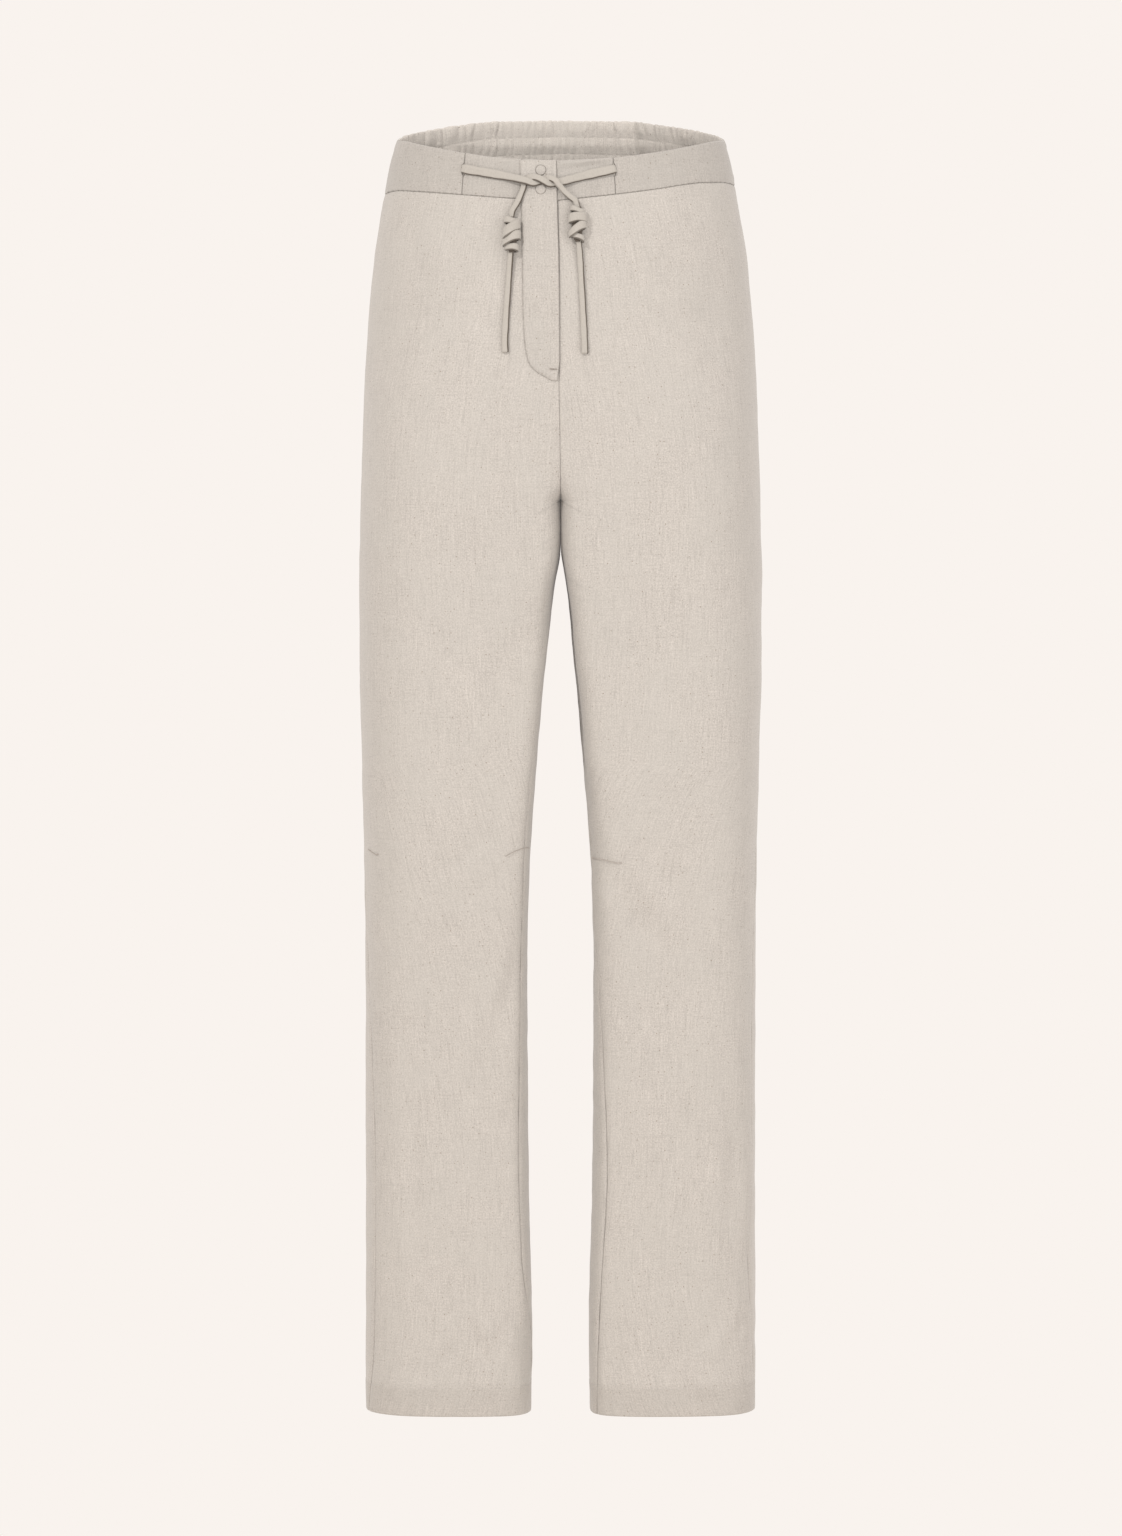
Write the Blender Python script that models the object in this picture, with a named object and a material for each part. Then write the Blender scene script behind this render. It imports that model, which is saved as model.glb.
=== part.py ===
"""Straight-leg trousers, filled out as worn: shaped front band, gathered back band, fly and drawstring.

Lengths here are millimetres; a mesh is scaled to metres when it is made. Heights are drops below the
top corner at the wearer's side. X runs to the wearer's left, Y to the back and Z up.
"""

import math

import bpy
import numpy as np

MM = 0.001

# Driving sizes
ORIGIN_DROP = 20.0      # the origin lies in the middle of the waist opening, this far down
HEM_DROP = 1063.0
HEM_DEPTH = 25.0
CLEFT_DROP = 150.0      # front and back begin to part into two legs
CROTCH_DROP = 300.0
CLEFT_EASE = 1.1        # above 1, the legs part later
PARTING_EASE = 8.0      # the larger, the more slowly a leg's middle moves out as the gap opens
LEVEL_DROP = 225.0      # rows follow the waist seam above this, and lie level below it
SEAM_GAP = 0.3
CLOTH = 1.2
HEM_CLOTH = 2.2
BAND_CLOTH = 2.2
PLACKET_CLOTH = 1.0
LIE = 0.45              # clearance of a piece that lies on the cloth
BAND_RADIUS = 100.0     # about; turns lengths along the band into degrees
PANEL_WIDTH = 200.0     # about, measured round the leg
RIGHT, LEFT = -1, 1
FRONT, BACK = 0, 1

# The form, one row for each level: drop, half the overall width, half the gap between the legs,
# reach to the front, reach to the back, then the squareness of a leg's outer half and of its inner
# half at the front and at the back (2 is an ellipse). The inner thighs are squarer, where they meet.
SECTIONS = [
    (0, 136.0, 0.15, 98, 100, 2.2, 2.2, 2.2),
    (20, 141.8, 0.15, 100, 104, 2.2, 2.2, 2.2),
    (50, 147.4, 0.15, 103.5, 110, 2.2, 2.2, 2.2),
    (100, 155.6, 0.15, 108, 122, 2.2, 2.3, 2.2),
    (170, 161.8, 0.15, 110, 132, 2.2, 2.6, 2.3),
    (235, 165.1, 0.15, 108, 132, 2.3, 3.0, 2.5),
    (300, 167.1, 0.15, 104, 123, 2.4, 3.4, 2.7),
    (350, 168.3, 0.4, 100, 112, 2.5, 3.5, 2.7),
    (370, 168.4, 4.6, 99, 108, 2.5, 3.4, 2.7),
    (420, 168.4, 9.7, 96, 98, 2.5, 3.1, 2.6),
    (520, 166.3, 19.3, 92, 83, 2.4, 2.7, 2.5),
    (600, 164.6, 24.9, 88, 74, 2.4, 2.5, 2.4),
    (722, 163.8, 27.7, 79, 69, 2.3, 2.3, 2.3),
    (860, 163.8, 26.9, 70, 66, 2.3, 2.3, 2.3),
    (1000, 164.2, 24.0, 63, 62, 2.2, 2.2, 2.2),
    (1063, 164.2, 25.2, 60, 60, 2.2, 2.2, 2.2),
]

# Where the leg seams swing forward: drop, then how far inside the leg's edge each one lies, seen
# from the front: right side seam, left side seam, right inseam, left inseam.
SEAM_SWING = [
    (300, 0, 0, 0, 0),
    (420, 0, 0, 1.5, 0),
    (520, 0, 0, 4.2, 0),
    (600, 0.5, 1.4, 5.4, 0.8),
    (680, 3.0, 3.5, 5.3, 3.0),
    (778, 7.0, 4.2, 7.0, 8.6),
    (860, 9.2, 4.7, 8.1, 12.0),
    (932, 9.0, 7.0, 7.0, 9.8),
    (1000, 7.8, 3.5, 0.5, 7.3),
    (1063, 3.0, 0.3, 0.2, 5.0),
]

# The band's edges: bearing from straight ahead in degrees, drop of the top edge, drop of the waist
# seam on the wearer's right, and on the left.
BAND_EDGES = [
    (0, 22.0, 54.9, 54.9),
    (25, 19.6, 52.3, 49.6),
    (41.5, 15.1, 49.4, 45.0),
    (60, 7.8, 45.9, 38.7),
    (72.5, 3.0, 44.2, 37.3),
    (90, 0.0, 45.6, 38.2),
    (109, -7.4, 42.0, 35.5),
    (121, -12.0, 37.5, 32.5),
    (133, -16.3, 32.0, 29.0),
    (149, -20.4, 27.0, 25.5),
    (180, -21.5, 23.5, 23.5),
]
WAIST_REFERENCE = 45.0

# The two vertical seams of the front band, with the slots that the drawstring comes out of:
# X, drop of the slot's upper end, drop of its lower end.
SLOTS = {RIGHT: (-79.0, 24.5, 32.5), LEFT: (43.5, 25.3, 33.3)}
SLOT_GAP = 2.4
SLOT_TAPER = 0.04       # a slot's ends close within this share of the band's height
BAND_STEP = 9.0         # degrees from column to column of a front band piece
UNDERLAP_X = -32.0      # the left inner band runs on under the placket to here
UNDERLAP_DROP = 35.0

# The back band: share of the way from the wearer's right side seam to the left one at which a
# stretch of gathers begins, and how many it has. The last row only ends the last stretch.
GATHERS = [
    (0.00, 8),
    (0.24, 25),
    (0.74, 17),
    (1.00, 0),
]
GATHER_POINTS = 3
GATHER_BULGE = 1.2
CASING_CLOTH = 1.6
SLANT_FADE = 0.25       # the larger, the farther from the side seams the creases stand straight
# Its rows: share of the band's height, bulge of the gathers, slant of the creases in degrees.
CASING_ROWS = [
    (0.00, 0.55, 0.0),
    (0.15, 1.00, 0.5),
    (0.305, 0.20, 0.9),
    (0.455, 1.00, 0.3),
    (0.61, 0.20, -0.4),
    (0.80, 1.00, 0.2),
    (1.00, 0.45, 0.6),
]

# The placket's outline: drop, left edge, right edge.
PLACKET = [
    (21.9, -33.5, -3.3),
    (55, -32.2, -2.5),
    (108, -31.2, -1.2),
    (147, -30.6, -0.8),
    (172, -29.2, -0.7),
    (183, -27.2, -0.7),
    (189, -25.0, -0.9),
    (194, -20.3, -1.6),
    (198, -14.2, -2.0),
    (202, -7.0, -2.4),
]
PLACKET_COLUMNS = 5

# Snap caps on the placket: X, drop.
SNAPS = {"snap_upper": (-16.1, 29.1), "snap_lower": (-16.1, 45.8)}
# A cap's rings, from the placket up: radius, height.
SNAP_RINGS = [(3.9, 0.0), (3.9, 0.35), (3.1, 0.95), (1.5, 1.2)]
SNAP_SIDES = 12

# The drawstring, as plain round tubes. Each route: X, drop, lift of the middle off the cloth.
CORD_RADIUS = 1.8
CORD_ROUTES = {
    "cord_right": [
        (-79.5, 28.5, 2.3), (-72, 30.0, 2.3), (-62, 31.8, 2.3), (-52, 33.7, 2.4),
        (-43, 35.6, 3.2), (-36, 37.3, 5.2), (-31, 38.6, 7.3), (-27.5, 39.7, 7.9),
        (-22, 41.3, 5.7), (-17.5, 40.2, 3.7), (-13.5, 38.6, 3.9), (-9.5, 37.2, 5.8),
        (-4.5, 39.3, 8.0),
        (-1.0, 43.3, 7.0), (3.0, 48.0, 5.8), (7.8, 52.4, 5.4), (12.3, 56.2, 5.6),
        (13.6, 59.9, 5.9),
    ],
    "cord_left": [
        (44.0, 29.3, 2.3), (36, 31.0, 2.3), (27, 33.0, 2.3), (18, 35.2, 2.4),
        (10, 37.4, 2.8), (3, 39.4, 3.4), (-4, 40.9, 3.6), (-9.5, 41.8, 6.0),
        (-13.0, 40.0, 8.1), (-17.5, 37.6, 8.0), (-22, 36.4, 5.7), (-26.8, 37.4, 3.8),
        (-29.0, 40.6, 3.6),
        (-29.8, 44.5, 3.7), (-32.2, 51.0, 3.9), (-35.4, 58.0, 4.4), (-38.6, 63.8, 5.4),
        (-39.3, 67.9, 5.9),
    ],
    "tail_right": [
        (-40.2, 98.6, 5.0), (-40.9, 106, 3.4), (-42.0, 120, 2.5), (-43.3, 137, 2.4),
        (-44.5, 155, 2.4), (-45.2, 170, 2.4), (-44.9, 179, 2.4),
    ],
    "tail_left": [
        (15.0, 90.0, 5.0), (15.7, 98, 3.4), (16.6, 112, 2.5), (17.6, 130, 2.4),
        (18.7, 150, 2.4), (19.6, 168, 2.4), (20.0, 180, 2.4),
    ],
}
CORD_STEP = {"cord_right": 3.4, "cord_left": 3.4, "tail_right": 8.0, "tail_left": 8.0}

# The stopper knots: X, drop of the top, lift of the middle.
KNOTS = {"knot_right": (-39.3, 68.8, 6.1), "knot_left": (13.6, 60.8, 6.1)}
# A knot's rings: depth below its top, half width, half thickness; three slanting wraps.
KNOT_RINGS = [
    (0.0, 2.8, 2.4), (1.6, 5.4, 4.2), (5.2, 7.3, 5.4), (8.8, 6.2, 4.6), (12.6, 7.5, 5.5),
    (16.4, 6.3, 4.7), (20.4, 7.4, 5.4), (24.6, 5.9, 4.4), (28.6, 2.9, 2.4),
]
KNOT_SIDES = 12
KNOT_SLANT = 0.22

# The centre front line leans to the wearer's right: drop, shift.
CENTRE_LEAN = [
    (0, -3.4),
    (55, -2.5),
    (110, -1.2),
    (200, -1.2),
    (260, -0.3),
    (300, 0.0),
]

# Rows of a leg panel: drop at the side seam, drop at the centre seam or inseam, wall.
PANEL_ROWS = [
    (45, 45, CLOTH),
    (64, 64, CLOTH),
    (88, 88, CLOTH),
    (115, 115, CLOTH),
    (145, 145, CLOTH),
    (175, 175, CLOTH),
    (203, 203, CLOTH),
    (232, 230, CLOTH),
    (258, 250, CLOTH),
    (280, 268, CLOTH),
    (298, 280, CLOTH),
    (314, 288.5, CLOTH),
    (328, 294.5, CLOTH),
    (341, 298.2, CLOTH),
    (347, 299.5, CLOTH),
    (351, 299.93, CLOTH),
    (355, 299.995, CLOTH),
    (359, CROTCH_DROP, CLOTH),
    (371, 308, CLOTH),
    (386, 325, CLOTH),
    (402, 349, CLOTH),
    (420, 372, CLOTH),
    (450, 412, CLOTH),
    (490, 468, CLOTH),
    (540, 530, CLOTH),
    (590, 590, CLOTH),
    (634, 634, CLOTH),
    (680, 680, CLOTH),
    (740, 740, CLOTH),
    (815, 815, CLOTH),
    (900, 900, CLOTH),
    (980, 980, CLOTH),
    (HEM_DROP - HEM_DEPTH - 1, HEM_DROP - HEM_DEPTH - 1, CLOTH),
    (HEM_DROP - HEM_DEPTH, HEM_DROP - HEM_DEPTH, HEM_CLOTH),
    (HEM_DROP, HEM_DROP, HEM_CLOTH),
]
SEAM_FOLLOW = 1.5       # the rows near the waist follow its seam; the larger, the sooner they are level
PANEL_COLUMNS = 13
INNER_CROWDING = 0.3    # columns lie this much closer together at the inner edge
ARC_STEPS = 49          # points along which a section's arc is measured
MITRE_LIMIT = 0.7       # the walls' mitre at the centre seams stops growing here

# The largest soft folds: side, face, way round from inseam or centre (0) to side seam (1), drop of
# its middle, half its width round the leg, half its height, depth (inward is negative).
FOLDS = [
    (RIGHT, FRONT, 0.16, 470, 20, 190, -2.6),
    (LEFT, FRONT, 0.14, 450, 20, 170, -2.2),
    (RIGHT, FRONT, 0.62, 840, 34, 230, -1.6),
    (LEFT, FRONT, 0.45, 800, 36, 250, -1.8),
    (RIGHT, FRONT, 0.14, 985, 17, 60, -2.0),
    (LEFT, FRONT, 0.12, 1000, 17, 55, -2.0),
    (RIGHT, BACK, 0.20, 420, 26, 130, -3.4),
    (LEFT, BACK, 0.22, 430, 26, 130, -3.2),
    (RIGHT, BACK, 0.45, 633, 60, 45, -3.0),
    (LEFT, BACK, 0.45, 640, 60, 45, -3.0),
    (RIGHT, BACK, 0.40, 820, 30, 200, -2.2),
    (LEFT, BACK, 0.55, 850, 30, 220, -2.2),
]

# Colours
CLOTH_COLOUR = (0.63, 0.57, 0.50, 1)
CORD_COLOUR = (0.60, 0.54, 0.47, 1)
SNAP_COLOUR = (0.58, 0.53, 0.46, 1)
ROUGHNESS = 0.9
SHARP_ANGLE = 40.0


def eased(table, at):
    """A table's later columns at places in its first column, on curves that never overshoot."""
    rows = np.asarray(table, float)
    place, values = rows[:, 0], rows[:, 1:]
    at = np.clip(np.asarray(at, float), place[0], place[-1])
    slope = np.diff(values, axis=0) / np.diff(place)[:, None]
    before, after = slope[:-1], slope[1:]
    agree = before * after > 0
    knots = np.zeros_like(values)
    knots[1:-1] = np.where(agree, 2 * before * after / np.where(agree, before + after, 1), 0)
    knots[0], knots[-1] = slope[0], slope[-1]
    low = np.clip(np.searchsorted(place, at, side="right") - 1, 0, len(place) - 2)
    span = place[low + 1] - place[low]
    t = ((at - place[low]) / span)[..., None]
    span = span[..., None]
    return ((1 + 2 * t) * (1 - t) ** 2 * values[low] + t * (1 - t) ** 2 * span * knots[low]
            + t * t * (3 - 2 * t) * values[low + 1] + t * t * (t - 1) * span * knots[low + 1])


class Lobe:
    """The half-section round one leg at each drop: a superellipse, cut off at the centre above the crotch."""

    def __init__(self, drop):
        columns = np.moveaxis(eased(SECTIONS, drop), -1, 0)
        self.width, gap, self.front, self.back, self.outer, self.inner_front, self.inner_back = columns
        part = np.clip((drop - CLEFT_DROP) / (CROTCH_DROP - CLEFT_DROP), 0, 1)
        self.cleft = part ** CLEFT_EASE
        shift = np.maximum(SEAM_GAP / 2, gap * gap / (gap + PARTING_EASE))
        self.outer_half = (self.width - shift) / (1 + self.cleft)
        self.inner_half = self.outer_half + shift - gap
        self.middle = shift + self.outer_half * self.cleft

    def quarter(self, inwards, forwards):
        """Half width, reach and squareness of the quarter that a point lies in."""
        half = np.where(inwards, self.inner_half, self.outer_half)
        reach = np.where(forwards, self.front, self.back)
        inner = np.where(forwards, self.inner_front, self.inner_back)
        return half, reach, np.where(inwards, inner, self.outer)

    def plan(self, angle):
        """X from the centre plane and Y at an angle, which is 0 at the side and grows to the front."""
        half, reach, power = self.quarter(np.cos(angle) < 0, np.sin(angle) > 0)
        across, deep = np.abs(np.cos(angle)) / half, np.abs(np.sin(angle)) / reach
        radius = (across ** power + deep ** power) ** (-1 / power)
        return self.middle + radius * np.cos(angle), -radius * np.sin(angle)

    def edge_angle(self, inset, forwards):
        """The angle of the inner edge, where the section is cut off or the inseam runs."""
        half, reach, power = self.quarter(True, forwards)
        k = np.minimum(self.cleft, 1 - inset / half)
        return np.arctan2(reach * (1 - k ** power) ** (1 / power), -k * half)

    def level(self, x, y):
        """Below one inside the section, above one outside it."""
        half, reach, power = self.quarter(x < self.middle, y < 0)
        return np.abs((x - self.middle) / half) ** power + np.abs(y / reach) ** power


def side_angle(drop, side):
    """The angle of a leg's side seam."""
    inset = eased(SEAM_SWING, drop)[..., 0 if side == RIGHT else 1]
    lobe = Lobe(drop)
    k = 1 - inset / lobe.outer_half
    return np.arctan2(lobe.front * (1 - k ** lobe.outer) ** (1 / lobe.outer), k * lobe.outer_half)


def inner_angle(drop, side, face):
    """The angle of a panel's centre seam above the crotch, and of its inseam below."""
    inset = eased(SEAM_SWING, drop)[..., 2 if side == RIGHT else 3]
    lobe = Lobe(drop)
    front_edge = lobe.edge_angle(inset, True)
    if face == FRONT:
        return front_edge
    return np.where(lobe.cleft < 1, -lobe.edge_angle(0, False), front_edge - 2 * np.pi)


def panel_angles(way, drop, side, face):
    """Angles over a grid of rows, at ways along the cloth from the inner edge (0) to the side seam (1)."""
    steps = np.linspace(0, 1, ARC_STEPS)
    inner = inner_angle(drop[:, :1], side, face)
    outer = side_angle(drop[:, -1:], side)
    angles = inner[..., None] + (outer - inner)[..., None] * steps
    x, y = Lobe(drop[..., None]).plan(angles)
    run = np.cumsum(np.hypot(np.diff(x), np.diff(y)), axis=-1)
    run = np.concatenate([np.zeros_like(run[..., :1]), run], axis=-1)
    angles = np.broadcast_to(angles, run.shape)
    target = way * run[..., -1]
    low = np.clip((run <= target[..., None]).sum(-1) - 1, 0, len(steps) - 2)[..., None]
    before, after = (np.take_along_axis(run, low + i, -1)[..., 0] for i in (0, 1))
    start, end = (np.take_along_axis(angles, low + i, -1)[..., 0] for i in (0, 1))
    return start + (end - start) * (target - before) / (after - before)


def lean(drop, x, width):
    return eased(CENTRE_LEAN, drop)[..., 0] * (1 - (x / width) ** 2)


def surface(angle, drop, side):
    """Points of the cloth's outer face and its outward normals."""
    lobe = Lobe(drop)
    x, y = lobe.plan(angle)
    half, reach, power = lobe.quarter(x < lobe.middle, y < 0)
    across = (x - lobe.middle) / half
    pull_x = power / half * np.abs(across) ** (power - 1) * np.sign(across)
    pull_y = power / reach * np.abs(y / reach) ** (power - 1) * np.sign(y)
    pull_z = -(Lobe(drop + 1).level(x, y) - Lobe(drop - 1).level(x, y)) / 2
    normal = np.stack([side * pull_x, pull_y, pull_z], -1)
    normal /= np.linalg.norm(normal, axis=-1)[..., None]
    x = side * x
    x = x + np.where(y < 0, lean(drop, x, lobe.width), 0)
    return np.stack([x, y, ORIGIN_DROP - drop], -1), normal


def front_angle(x, drop, side):
    """The angle on the front at which the cloth passes X."""
    lobe = Lobe(drop)
    across = side * (x - lean(drop, x, lobe.width)) - lobe.middle
    half, reach, power = lobe.quarter(across < 0, True)
    y = reach * (1 - np.abs(across / half) ** power) ** (1 / power)
    return np.arctan2(y, across)


def on_front(x, drop, lift=0.0):
    """Points on the front at X and a drop, lifted off the cloth."""
    x, drop = np.broadcast_arrays(np.asarray(x, float), np.asarray(drop, float))
    points = np.empty(x.shape + (3,))
    for side in (RIGHT, LEFT):
        here = x < 0 if side == RIGHT else x >= 0
        place, normal = surface(front_angle(x[here], drop[here], side), drop[here], side)
        points[here] = place + normal * np.broadcast_to(lift, x.shape)[here][:, None]
    return points


def bearing_of(angle):
    return 90 - np.degrees(angle)


def waist_seam(bearing, side):
    return eased(BAND_EDGES, bearing)[..., 1 if side == RIGHT else 2]


def in_band(bearing, share):
    """Points of the band and their normals, at bearings that grow from the front to the wearer's left.

    The share of the band's height runs from its top edge (0) to just above the waist seam (1).
    """
    turned = (bearing + 180) % 360 - 180
    place, normal = (np.empty(turned.shape + (3,)) for _ in range(2))
    for side in (RIGHT, LEFT):
        here = turned < 0 if side == RIGHT else turned >= 0
        from_front = np.abs(turned[here])
        top = eased(BAND_EDGES, from_front)[..., 0]
        low = waist_seam(from_front, side) - SEAM_GAP / 2
        drop = top + (low - top) * share[here]
        place[here], normal[here] = surface(np.radians(90 - from_front), drop, side)
    return place, normal


def front_bearing(x, drop):
    """The signed bearing of a place on the front."""
    side = RIGHT if x < 0 else LEFT
    return side * float(bearing_of(front_angle(np.array(x), np.array(drop), side)))


def folds(way, drop, side, face):
    """The soft folds' depth at each point of a panel."""
    depth = np.zeros_like(drop)
    for fold_side, fold_face, at, middle, half_width, half_height, deep in FOLDS:
        if (fold_side, fold_face) == (side, face):
            across = (way - at) * PANEL_WIDTH / half_width
            along = (drop - middle) / half_height
            depth += deep * np.exp(-across ** 2) * np.exp(-along ** 2)
    return depth


def link(name, data, colour):
    """Gives a mesh or a curve its material and puts it in the scene."""
    material = bpy.data.materials.new(name)
    material.use_nodes = True
    shader = material.node_tree.nodes["Principled BSDF"]
    shader.inputs["Base Color"].default_value = colour
    shader.inputs["Roughness"].default_value = ROUGHNESS
    data.materials.append(material)
    bpy.context.scene.collection.objects.link(bpy.data.objects.new(name, data))


def add_solid(name, vertices, faces, colour):
    """Makes one closed body with its faces turned out."""
    mesh = bpy.data.meshes.new(name)
    mesh.from_pydata([tuple(v) for v in np.asarray(vertices) * MM], [], faces)
    mesh.update()
    volume = sum(mesh.vertices[t[0]].co.dot(mesh.vertices[t[1]].co.cross(mesh.vertices[t[2]].co))
                 for f in mesh.polygons for t in [(f.vertices[0], f.vertices[i], f.vertices[i + 1])
                                                  for i in range(1, len(f.vertices) - 1)])
    if volume < 0:
        mesh.flip_normals()
    mesh.shade_smooth()
    mesh.set_sharp_from_angle(angle=math.radians(SHARP_ANGLE))
    link(name, mesh, colour)


def add_wall(name, outer, inner, colour):
    """A closed wall between an outer and an inner grid of points.

    Both grids have the same diagonals, so that the two sides of a thin wall can't cross.
    """
    rows, columns = outer.shape[:2]
    count = rows * columns
    faces = []

    def strip(first, second, turned=False):
        for (a, b), (c, d) in zip(zip(first, first[1:]), zip(second, second[1:])):
            faces.extend([(a, b, c), (b, d, c)] if turned else [(a, b, d), (a, d, c)])

    index = np.arange(count).reshape(rows, columns).tolist()
    for upper, lower in zip(index, index[1:]):
        strip(upper, lower)
        strip([i + count for i in lower], [i + count for i in upper], turned=True)
    border = (index[0] + [row[-1] for row in index[1:]] + index[-1][-2::-1]
              + [row[0] for row in index[-2::-1]])
    strip([i + count for i in border], border)
    add_solid(name, np.concatenate([outer.reshape(-1, 3), inner.reshape(-1, 3)]), faces, colour)


def centre_mitre(normal, at_centre):
    """Turns the wall's direction into the centre plane at the centre seams, where both legs meet."""
    flat = normal * (0, 1, 1)
    size = np.linalg.norm(flat, axis=-1)[..., None]
    mitred = flat / (np.maximum(size, 1e-6) * np.maximum(size, MITRE_LIMIT))
    return np.where(at_centre[..., None], mitred, normal)


def build_panel(name, side, face):
    """A leg panel from the waist seam to the hem."""
    rows = np.array(PANEL_ROWS)
    side_drop, inner_drop, wall = (rows[:, [i]] for i in range(3))
    steps = np.linspace(0, 1, PANEL_COLUMNS)
    way = np.tile(steps * (1 - INNER_CROWDING + INNER_CROWDING * steps), (len(rows), 1))
    drop = side_drop + (inner_drop - side_drop) * (1 - way) ** 2
    level = 0 * drop + WAIST_REFERENCE
    seam = waist_seam(bearing_of(panel_angles(way, level, side, face)), side) + SEAM_GAP / 2
    follow = np.clip((LEVEL_DROP - drop) / (LEVEL_DROP - WAIST_REFERENCE), 0, 1)
    drop = drop + (seam - WAIST_REFERENCE) * follow ** SEAM_FOLLOW
    above = drop[:, 0] < CROTCH_DROP
    inset = SEAM_GAP / 2 / PANEL_WIDTH
    way[:, -1] -= inset
    way[~above, 0] += inset
    at_centre = np.zeros(way.shape, bool)
    at_centre[above, 0] = True
    place, normal = surface(panel_angles(way, drop, side, face), drop, side)
    normal = centre_mitre(normal, at_centre)
    outer = place + normal * folds(way, drop, side, face)[..., None]
    add_wall(name, outer, outer - normal * wall[..., None], CLOTH_COLOUR)


def build_front_band(name, start, end, slot_side, slot_at_start):
    """A piece of the front band between two signed bearings; one edge steps back for half of a slot."""
    bearing = abs(start if slot_at_start else end)
    top, low = eased(BAND_EDGES, bearing)[0], waist_seam(bearing, slot_side)
    upper, lower = ((drop - top) / (low - top) for drop in SLOTS[slot_side][1:])
    shares = np.array([0, upper - SLOT_TAPER, upper, (upper + lower) / 2, lower, lower + SLOT_TAPER, 1])
    in_slot = (shares >= upper) & (shares <= lower)
    columns = max(4, round(abs(end - start) / BAND_STEP) + 1)
    seam, slot = (math.degrees(gap / 2 / BAND_RADIUS) for gap in (SEAM_GAP, SLOT_GAP))
    first = start + np.where(in_slot & slot_at_start, slot, seam)
    last = end - np.where(in_slot & (not slot_at_start), slot, seam)
    bearing = first[:, None] + (last - first)[:, None] * np.linspace(0, 1, columns)
    place, normal = in_band(bearing, np.repeat(shares[:, None], columns, axis=1))
    add_wall(name, place, place - normal * BAND_CLOTH, CLOTH_COLOUR)


def build_back_band():
    """The elastic casing from one side seam round the back to the other, puffed between its creases."""
    ways, bulges = [], []
    for (start, count), (end, _) in zip(GATHERS, GATHERS[1:]):
        steps = np.arange(count * GATHER_POINTS)
        ways.append(start + (end - start) * steps / (count * GATHER_POINTS))
        bulges.append(np.sin(np.pi * (steps % GATHER_POINTS) / GATHER_POINTS))
    way = np.append(np.concatenate(ways), 1.0)
    bulge = np.append(np.concatenate(bulges), 0.0)
    edge = math.degrees(SEAM_GAP / 2 / BAND_RADIUS)
    bearing = -90 - edge - (180 - 2 * edge) * way
    share, swell, slant = np.array(CASING_ROWS).T
    bearing = bearing + slant[:, None] * np.sin(np.pi * way) ** SLANT_FADE
    place, normal = in_band(bearing, np.repeat(share[:, None], len(way), axis=1))
    puff = (GATHER_BULGE * swell[:, None] * bulge)[..., None]
    add_wall("band_back", place + normal * puff, place - normal * (CASING_CLOTH + puff), CLOTH_COLOUR)


def build_placket():
    outline = np.array(PLACKET)
    drop = np.concatenate([np.linspace(outline[0, 0], 172, 9), outline[5:, 0]])
    left, right = (c[:, None] for c in eased(PLACKET, drop).T)
    x = left + (right - left) * np.linspace(0, 1, PLACKET_COLUMNS)
    drop = np.repeat(drop[:, None], PLACKET_COLUMNS, axis=1)
    add_wall("fly_placket", on_front(x, drop, LIE + PLACKET_CLOTH), on_front(x, drop, LIE), CLOTH_COLOUR)


def add_rings(name, rings, colour):
    """A closed body over rings of points, capped at both ends."""
    count = len(rings[0])
    faces = [tuple(range(count)), tuple(range((len(rings) - 1) * count, len(rings) * count))[::-1]]
    for ring in range(len(rings) - 1):
        for i in range(count):
            a, b = ring * count + i, ring * count + (i + 1) % count
            faces.append((b, a, a + count, b + count))
    add_solid(name, np.concatenate(rings), faces, colour)


def build_snap(name, x, drop):
    turn = np.linspace(0, 2 * np.pi, SNAP_SIDES, endpoint=False)
    base = LIE + PLACKET_CLOTH + SEAM_GAP
    rings = [on_front(x + radius * np.cos(turn), drop + radius * np.sin(turn), base + height)
             for radius, height in SNAP_RINGS]
    add_rings(name, rings, SNAP_COLOUR)


def build_knot(name, x, top, lift):
    turn = np.linspace(0, 2 * np.pi, KNOT_SIDES, endpoint=False)
    rings = []
    for depth, wide, thick in KNOT_RINGS:
        across = wide * np.cos(turn)
        slant = KNOT_SLANT * across * math.sin(math.pi * depth / KNOT_RINGS[-1][0])
        rings.append(on_front(x + across, top + depth - slant, lift + thick * np.sin(turn)))
    add_rings(name, rings, CORD_COLOUR)


def smooth_route(points, step):
    """Points about a step apart on a smooth curve through a route's own points."""
    run = np.concatenate([[0], np.cumsum(np.linalg.norm(np.diff(points, axis=0), axis=1))])
    slope = np.gradient(points, run, axis=0)
    at = np.linspace(0, run[-1], max(3, round(run[-1] / step) + 1))
    low = np.clip(np.searchsorted(run, at, side="right") - 1, 0, len(run) - 2)
    span = (run[low + 1] - run[low])[:, None]
    t = (at - run[low])[:, None] / span
    return ((1 + 2 * t) * (1 - t) ** 2 * points[low] + t * (1 - t) ** 2 * span * slope[low]
            + t * t * (3 - 2 * t) * points[low + 1] + t * t * (t - 1) * span * slope[low + 1])


def build_cord(name, route):
    x, drop, lift = np.array(route, float).T
    points = smooth_route(on_front(x, drop, lift), CORD_STEP[name])
    curve = bpy.data.curves.new(name, "CURVE")
    curve.dimensions = "3D"
    curve.bevel_depth = CORD_RADIUS * MM
    curve.bevel_resolution = 2
    curve.use_fill_caps = True
    line = curve.splines.new("POLY")
    line.points.add(len(points) - 1)
    for spot, point in zip(line.points, points * MM):
        spot.co = (*point, 1)
    link(name, curve, CORD_COLOUR)


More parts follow.
